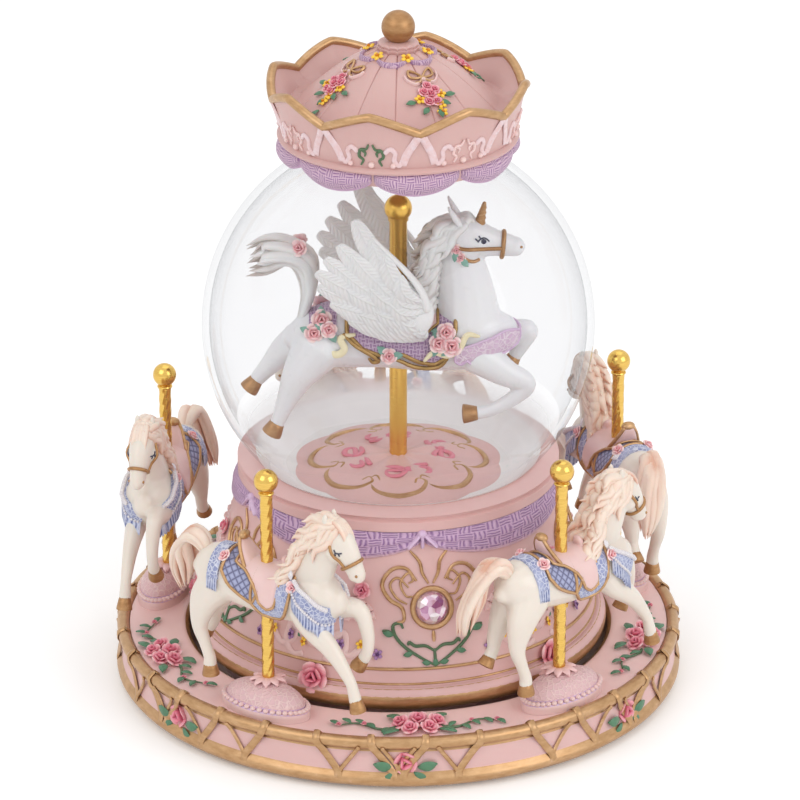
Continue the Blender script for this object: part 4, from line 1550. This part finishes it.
random.seed(9)
crest = spline([(15.6, 0, 29.0), (11.6, 0, 28.0), (9.4, 0, 23.0), (8.4, 0, 17.0), (7.6, 0, 11.0),
    (7.6, 0, 5.0)], 15)
for root in crest:
    sideLocks(clay, root, unicorn)
    long = random.uniform(0.8, 1.2)
    curl(clay, root + vec(1.0, 0, -0.8), (-6.0 * long, random.uniform(-1, 1), -1.2), (0.2, 0.3, 0.9),
        unicorn["size"], 2, (-0.5, 0, 1), 0.8, random.uniform(-0.6, 0.6))
for k in range(unicorn["forelock"]):
    a = random.uniform(-1, 1)
    tress(clay, [(15.0, a, 28.8), (17.4, a * 1.6, 29.2), (19.0, a * 2.2, 27.6),
        (20.4 + a * 0.5, a * 2.8, 25.4)], 0.9, 2, (0.4, 0, 1))
tailLine = [(-24.5, 0, 1), (-22.6, 0, 9), (-23.4, 0, 16), (-28.0, 0, 19.4), (-33.4, 0, 18.2),
    (-37.2, 0, 16.6)]
for k in range(unicorn["tail"]):
    a, b = random.uniform(0, 6.28), random.uniform(0.25, 1)
    swell = np.array([0.5, 1.8, 2.9, 3.9, 5.0, 5.6]) * b
    path = [np.array(q) + vec(0.5 * cos(a) * s * (j < 3), 0.7 * sin(a) * s, cos(a) * s * 0.9
        + 0.7 * sin(2 * j + a) * (j > 2)) for j, (q, s) in enumerate(zip(tailLine, swell))]
    path[-1][0] += random.uniform(-1.4, 3.4)
    tress(clay, path, 2.1, 2, (0.5 * cos(a), sin(a), cos(a)), 22)

chest = trunk + [(29.4, 0, -2.0, 2.9, 3.8), (30.4, 0, -2.0, 1.7, 2.4), (31.0, 0, -2.0, 0.3, 0.6)]
skirt = [(-13.0, -64, 64), (-9, -92, 92), (-4, -104, 104), (1, -98, 98), (5, -112, 112), (9, -120, 120),
    (12.5, -104, 104), (14.5, -60, 60)]
wrap(clay, trunk, skirt, 3, 0.45, 4, 0.6, 22, 44)
wrap(clay, trunk, [(-6, -40, 40), (0, -62, 62), (6, -66, 66), (10, -46, 46)], 5, 0.9, 4, 0.4)
for flank in (-1, 1):
    breast = []
    for x in np.linspace(14.4, 31.0, 65):  # scalloped breast band
        low = np.interp(x, (14.4, 19.5, 24.0, 27.0, 31.0),
            (112, 114, 122, 130, 130)) + 8 * abs(sin((x - 14.4) * pi / 3.0))
        breast.append((x, flank * np.interp(x, (14.4, 19.5, 24.0, 27.0, 31.0), (92, 86, 80, 72, 66)),
            flank * low))
    wrap(clay, chest, breast, 10, 1.0, 11, 0.32, 65, 10)
wrap(clay, trunk, [(-22.6, -58, 58), (-19.0, -76, 76), (-15.6, -70, 70)], 3, 0.5, None)
trimmings, roses, leaves = [], [], []
fade = 0.3 + 0.7 * np.sin(pi * np.linspace(0.02, 0.98, 30)) ** 0.5
for flank in (-1, 1):
    trimmings += [tapered([onTrunk(trunk, x, flank * a, 0.9) for x, a in path], 0.62, 26, 0.5)
        for path in (((-14, 66), (-11, 84), (-7, 100), (-5, 112), (-6.4, 116), (-7.4, 108)),
        ((-2, 104), (1, 112), (4, 122), (8, 126), (11, 118), (13.6, 92)))]
    for x, a, size in ((10.2, 78, 2.7), (13.4, 84, 2.9), (12.0, 62, 2.6), (-2.4, 100, 2.2),
            (-19.4, 44, 2.8), (-21.4, 66, 2.6), (-17.6, 62, 2.3)):
        roses.append((onTrunk(trunk, x, flank * a, 1.2), spunOn((0.1, -flank, 0.35), 31 * x), size))
        leaves += [(onTrunk(trunk, x, flank * a, 0.9), spunOn((0, -flank, 0.2), 37 * x + s), 3.6)
            for s in (0, 140)]
    for x, z, size, spin in ((14.6, 21.4, 1.6, 20), (15.6, 19.4, 1.5, 70)):
        spot = cling(skin, [(x, z), (x, z)], flank, 0.2, 2)[0]
        roses.append((spot, spunOn((0.1, flank, 0.2), spin), size))
        leaves.append((spot, spunOn((0.1, flank, 0.2), 150 + spin), 3.0))
    rump = ((-22, 78), (-19, 96), (-15.6, 104), (-13.6, 92), (-14.6, 74), (-11, 66))
    girth = ((6.6, 106), (9.0, 92), (12.6, 98), (15.6, 88), (17.4, 70), (20.4, 74))
    for path, lift, wide in ((rump, 0.8, 0.95), (girth, 1.3, 0.85)):
        band = spline([onTrunk(trunk, x, flank * a, lift) for x, a in path], 30)
        strip(clay, band, wide * fade, 0.4, (0, -flank, 0.2), 6)
roses += [(vec(-25.0, -2.6, 21.4), spunOn((-0.2, -1, 0.5), 0), 2.3),
    (vec(-25.0, 2.6, 21.4), spunOn((-0.2, 1, 0.5), 0), 2.3)]
leaves += [(vec(-26.6, f * 2.8, 21.0), spunOn((-0.2, f, 0.4), 80), 3.2) for f in (-1, 1)]
clay.lay(trimmings, "darkGold", 8, 4).strew(rose, roses, "paleRose", 7).strew(leaf, leaves, "teal", 8)
bridle, lashes = [], []
for flank in (-1, 1):
    bridle += [(cling(skin, [(15.4, 21.8), (18.6, 21.6), (22.4, 21.5), (26.0, 21.4)], flank, 0.2), 0.5,
        False), (cling(skin, [(15.6, 20.2), (17.0, 18.9), (18.8, 18.1), (20.4, 18.3)], flank, 0.1), 0.45,
        False)]
    eye = cling(skin, [(21.4, 23.5), (21.4, 23.5)], flank, -0.1, 2)[0]
    clay.add(*ball(eye, (0.8, 0.35, 0.7), 8, 12), 9)
    for path in ([(20.0, 23.5), (20.6, 24.2), (21.4, 24.5), (22.2, 24.2), (22.9, 23.5)],
            [(20.2, 23.8), (19.7, 24.1), (19.4, 24.5)], [(20.8, 24.3), (20.5, 24.7), (20.3, 25.1)]):
        lashes.append((cling(skin, path, flank, 0.1, 9), 0.2, False))
    clay.add(*ball(cling(skin, [(31.0, 21.4), (31.0, 21.4)], flank, 0.0, 2)[0], (0.42, 0.3, 0.35), 6, 8), 1)
nose = [(26.4 + 0.3 * cos(a), 3.0 * sin(a), 21.5 + 3.35 * cos(a)) for a in fullTurn(24)]
clay.lay(bridle + [(np.array(nose), 0.6, True)], "bronze", 7, 1).lay(lashes, "ink", 6, 9)
coat = ("pearl", "bronze", "pearlHair", "lilacWeave", "darkGold", "blush", "ribbon", "paleRose", "teal",
    "ink", "lilacLace", "lavender", "gold")
one = Clay().addClay(clay, None, middle)
piece("unicornBody", one, coat, "base", ["unicorn"], sharp=60)

wings = {"root": 9.25, "drop": 4.5, "spread": 11.0, "steps": 14, "sides": 10,
    "layers": ((13, 1.0, 3.0), (11, 0.76, 2.9), (10, 0.53, 2.6), (8, 0.33, 2.3))}
tips = spline([(3.0, 1.4), (-3.5, 1.0), (-9.5, 3.2), (-16, 8.0), (-19.4, 15.0), (-18.6, 24.6),
    (-11.4, 35.6)], 40)
roots = spline([(6.8, 3.0), (6.7, 4.6), (6.5, 6.6), (6.2, 8.8), (6.0, 11.2)], 40)
for label, flank in (("wing_right", -1), ("wing_left", 1)):
    clay = Clay()
    lean = radians(wings["spread"])

    def onWing(flat, out):
        up = flat[:, 1] + wings["drop"]
        return np.stack([flat[:, 0], flank * (wings["root"] - 0.4 + out + up * sin(lean)), up * cos(lean)
            - wings["drop"]], -1)

    for level, (count, share, wide) in enumerate(wings["layers"]):
        for k in range(count):
            s = k / (count - 1)
            end, start = tips[int(39 * s)], roots[int(39 * s)]
            t = np.linspace(0, 1, wings["steps"])[:, None]
            reach = share * (0.97 + 0.05 * sin(5 * k))
            bend = vec(-(end - start)[1], (end - start)[0]) * 0.07
            flat = start + (end - start) * reach * t + bend * np.sin(pi * t)
            line = onWing(flat, 0.45 * level + 0.18 * (k % 2) + 0.5 * np.sin(pi * t[:, 0]))
            width = wide * np.clip(0.4 + 1.1 * t[:, 0], 0, 1) * (1 - 0.55 * t[:, 0] ** 7)
            normal = (0, flank * cos(lean), -sin(lean))
            points, faces = tube(line, width, 0.34, wings["sides"], across=broadside(line, normal),
                roundEnd=2.0)
            ringAt = np.repeat(np.concatenate([[0, 0], t[:, 0], [1, 1]]), wings["sides"])
            angleAt = np.tile(fullTurn(wings["sides"]), wings["steps"] + 4)
            cloth = np.stack([np.cos(angleAt) * wide * 0.5, ringAt * np.linalg.norm(end - start) * share,
                0 * ringAt], -1)
            clay.add(points, faces, 0, np.vstack([cloth, np.zeros((2, 3))]))
    edge = onWing(spline([(7.2, 9.0), (5.8, 14.0), (2.4, 19.4), (-2.4, 25.2), (-6.4, 30.0)], 20), 0.5)
    clay.add(*tube(edge, np.linspace(1.7, 0.5, 20), np.linspace(1.2, 0.4, 20), 10), 0)
    clay.add(*ball(onWing(np.array([(5.4, 7.2)]), 0.3)[0], (3.6, 1.8, 5.4), 12, 16), 0)
    one = Clay().addClay(clay, None, middle)
    piece("feathers" + label[5:].title(), one, ["feather"], "base", [label], sharp=60)
print("unicorn done")


# Pieces kept from the CAD model wear the finish of their slot

slotOf = {part["node"]: part["material_slot"] for part in frame["record"]["subparts"]}
for name, node in nodes.items():
    hollows(node.data)
    node.data.materials.clear()
    node.data.materials.append(plain[slotOf[name]])
print("CAD nodes painted:", len(nodes))

# Floor, white surround, soft light and the camera of the photograph

studio = {"lens": 210.4, "seat": (0.0, -1.1006, 0.54315), "pitch": 23.063, "shift": 0.0022, "key": 3.9,
    "fill": 4.0, "top": 1.3, "surround": 0.8}
shop = Shop("paleFloor", {"Specular IOR Level": 0.1, "Emission Strength": 0.13})
shop.set({"Base Color": shop.mix(shop.noise(3), (0.97, 0.97, 0.97), (0.955, 0.955, 0.955)),
    "Roughness": 0.8, "Emission Color": shop.mix(shop.seen(), (0.0, 0.0, 0.0), (1.0, 1.0, 1.0))})
floorMesh = bpy.data.meshes.new("floor")
floorMesh.from_pydata([(-4, -4, 0), (4, -4, 0), (4, 4, 0), (-4, 4, 0)], [], [(0, 1, 2, 3)])
floorMesh.materials.append(shop.material)
floor = bpy.data.objects.new("floor", floorMesh)
scene = bpy.context.scene
scene.collection.objects.link(floor)
camera = bpy.data.objects.new("camera", bpy.data.cameras.new("camera"))
camera.data.lens, camera.data.sensor_width, camera.data.shift_x = studio["lens"], 36.0, studio["shift"]
camera.location = studio["seat"]
camera.rotation_euler = (radians(90 - studio["pitch"]), 0, 0)
scene.collection.objects.link(camera)
scene.camera = camera
for label, seat, large, power in (("key", (-0.75, -0.8, 1.0), 0.9, studio["key"]),
        ("fill", (0.9, -0.7, 0.7), 0.8, studio["fill"]), ("top", (0.1, 0.35, 1.2), 0.9, studio["top"])):
    lamp = bpy.data.objects.new(label, bpy.data.lights.new(label, "AREA"))
    lamp.data.energy, lamp.data.size = power, large
    lamp.location = seat
    lamp.rotation_euler = (Vector((0, 0, 0.08)) - lamp.location).to_track_quat("-Z", "Y").to_euler()
    scene.collection.objects.link(lamp)
scene.world = bpy.data.worlds.new("surround")
air = Shop("surround", {"Color": (1.0, 1.0, 1.0)}, scene.world)
air.set({"Strength": air.span(air.seen(), 0.0, 1.0, studio["surround"], 1.0)})
scene.view_settings.view_transform = "Standard"
print("stage set")
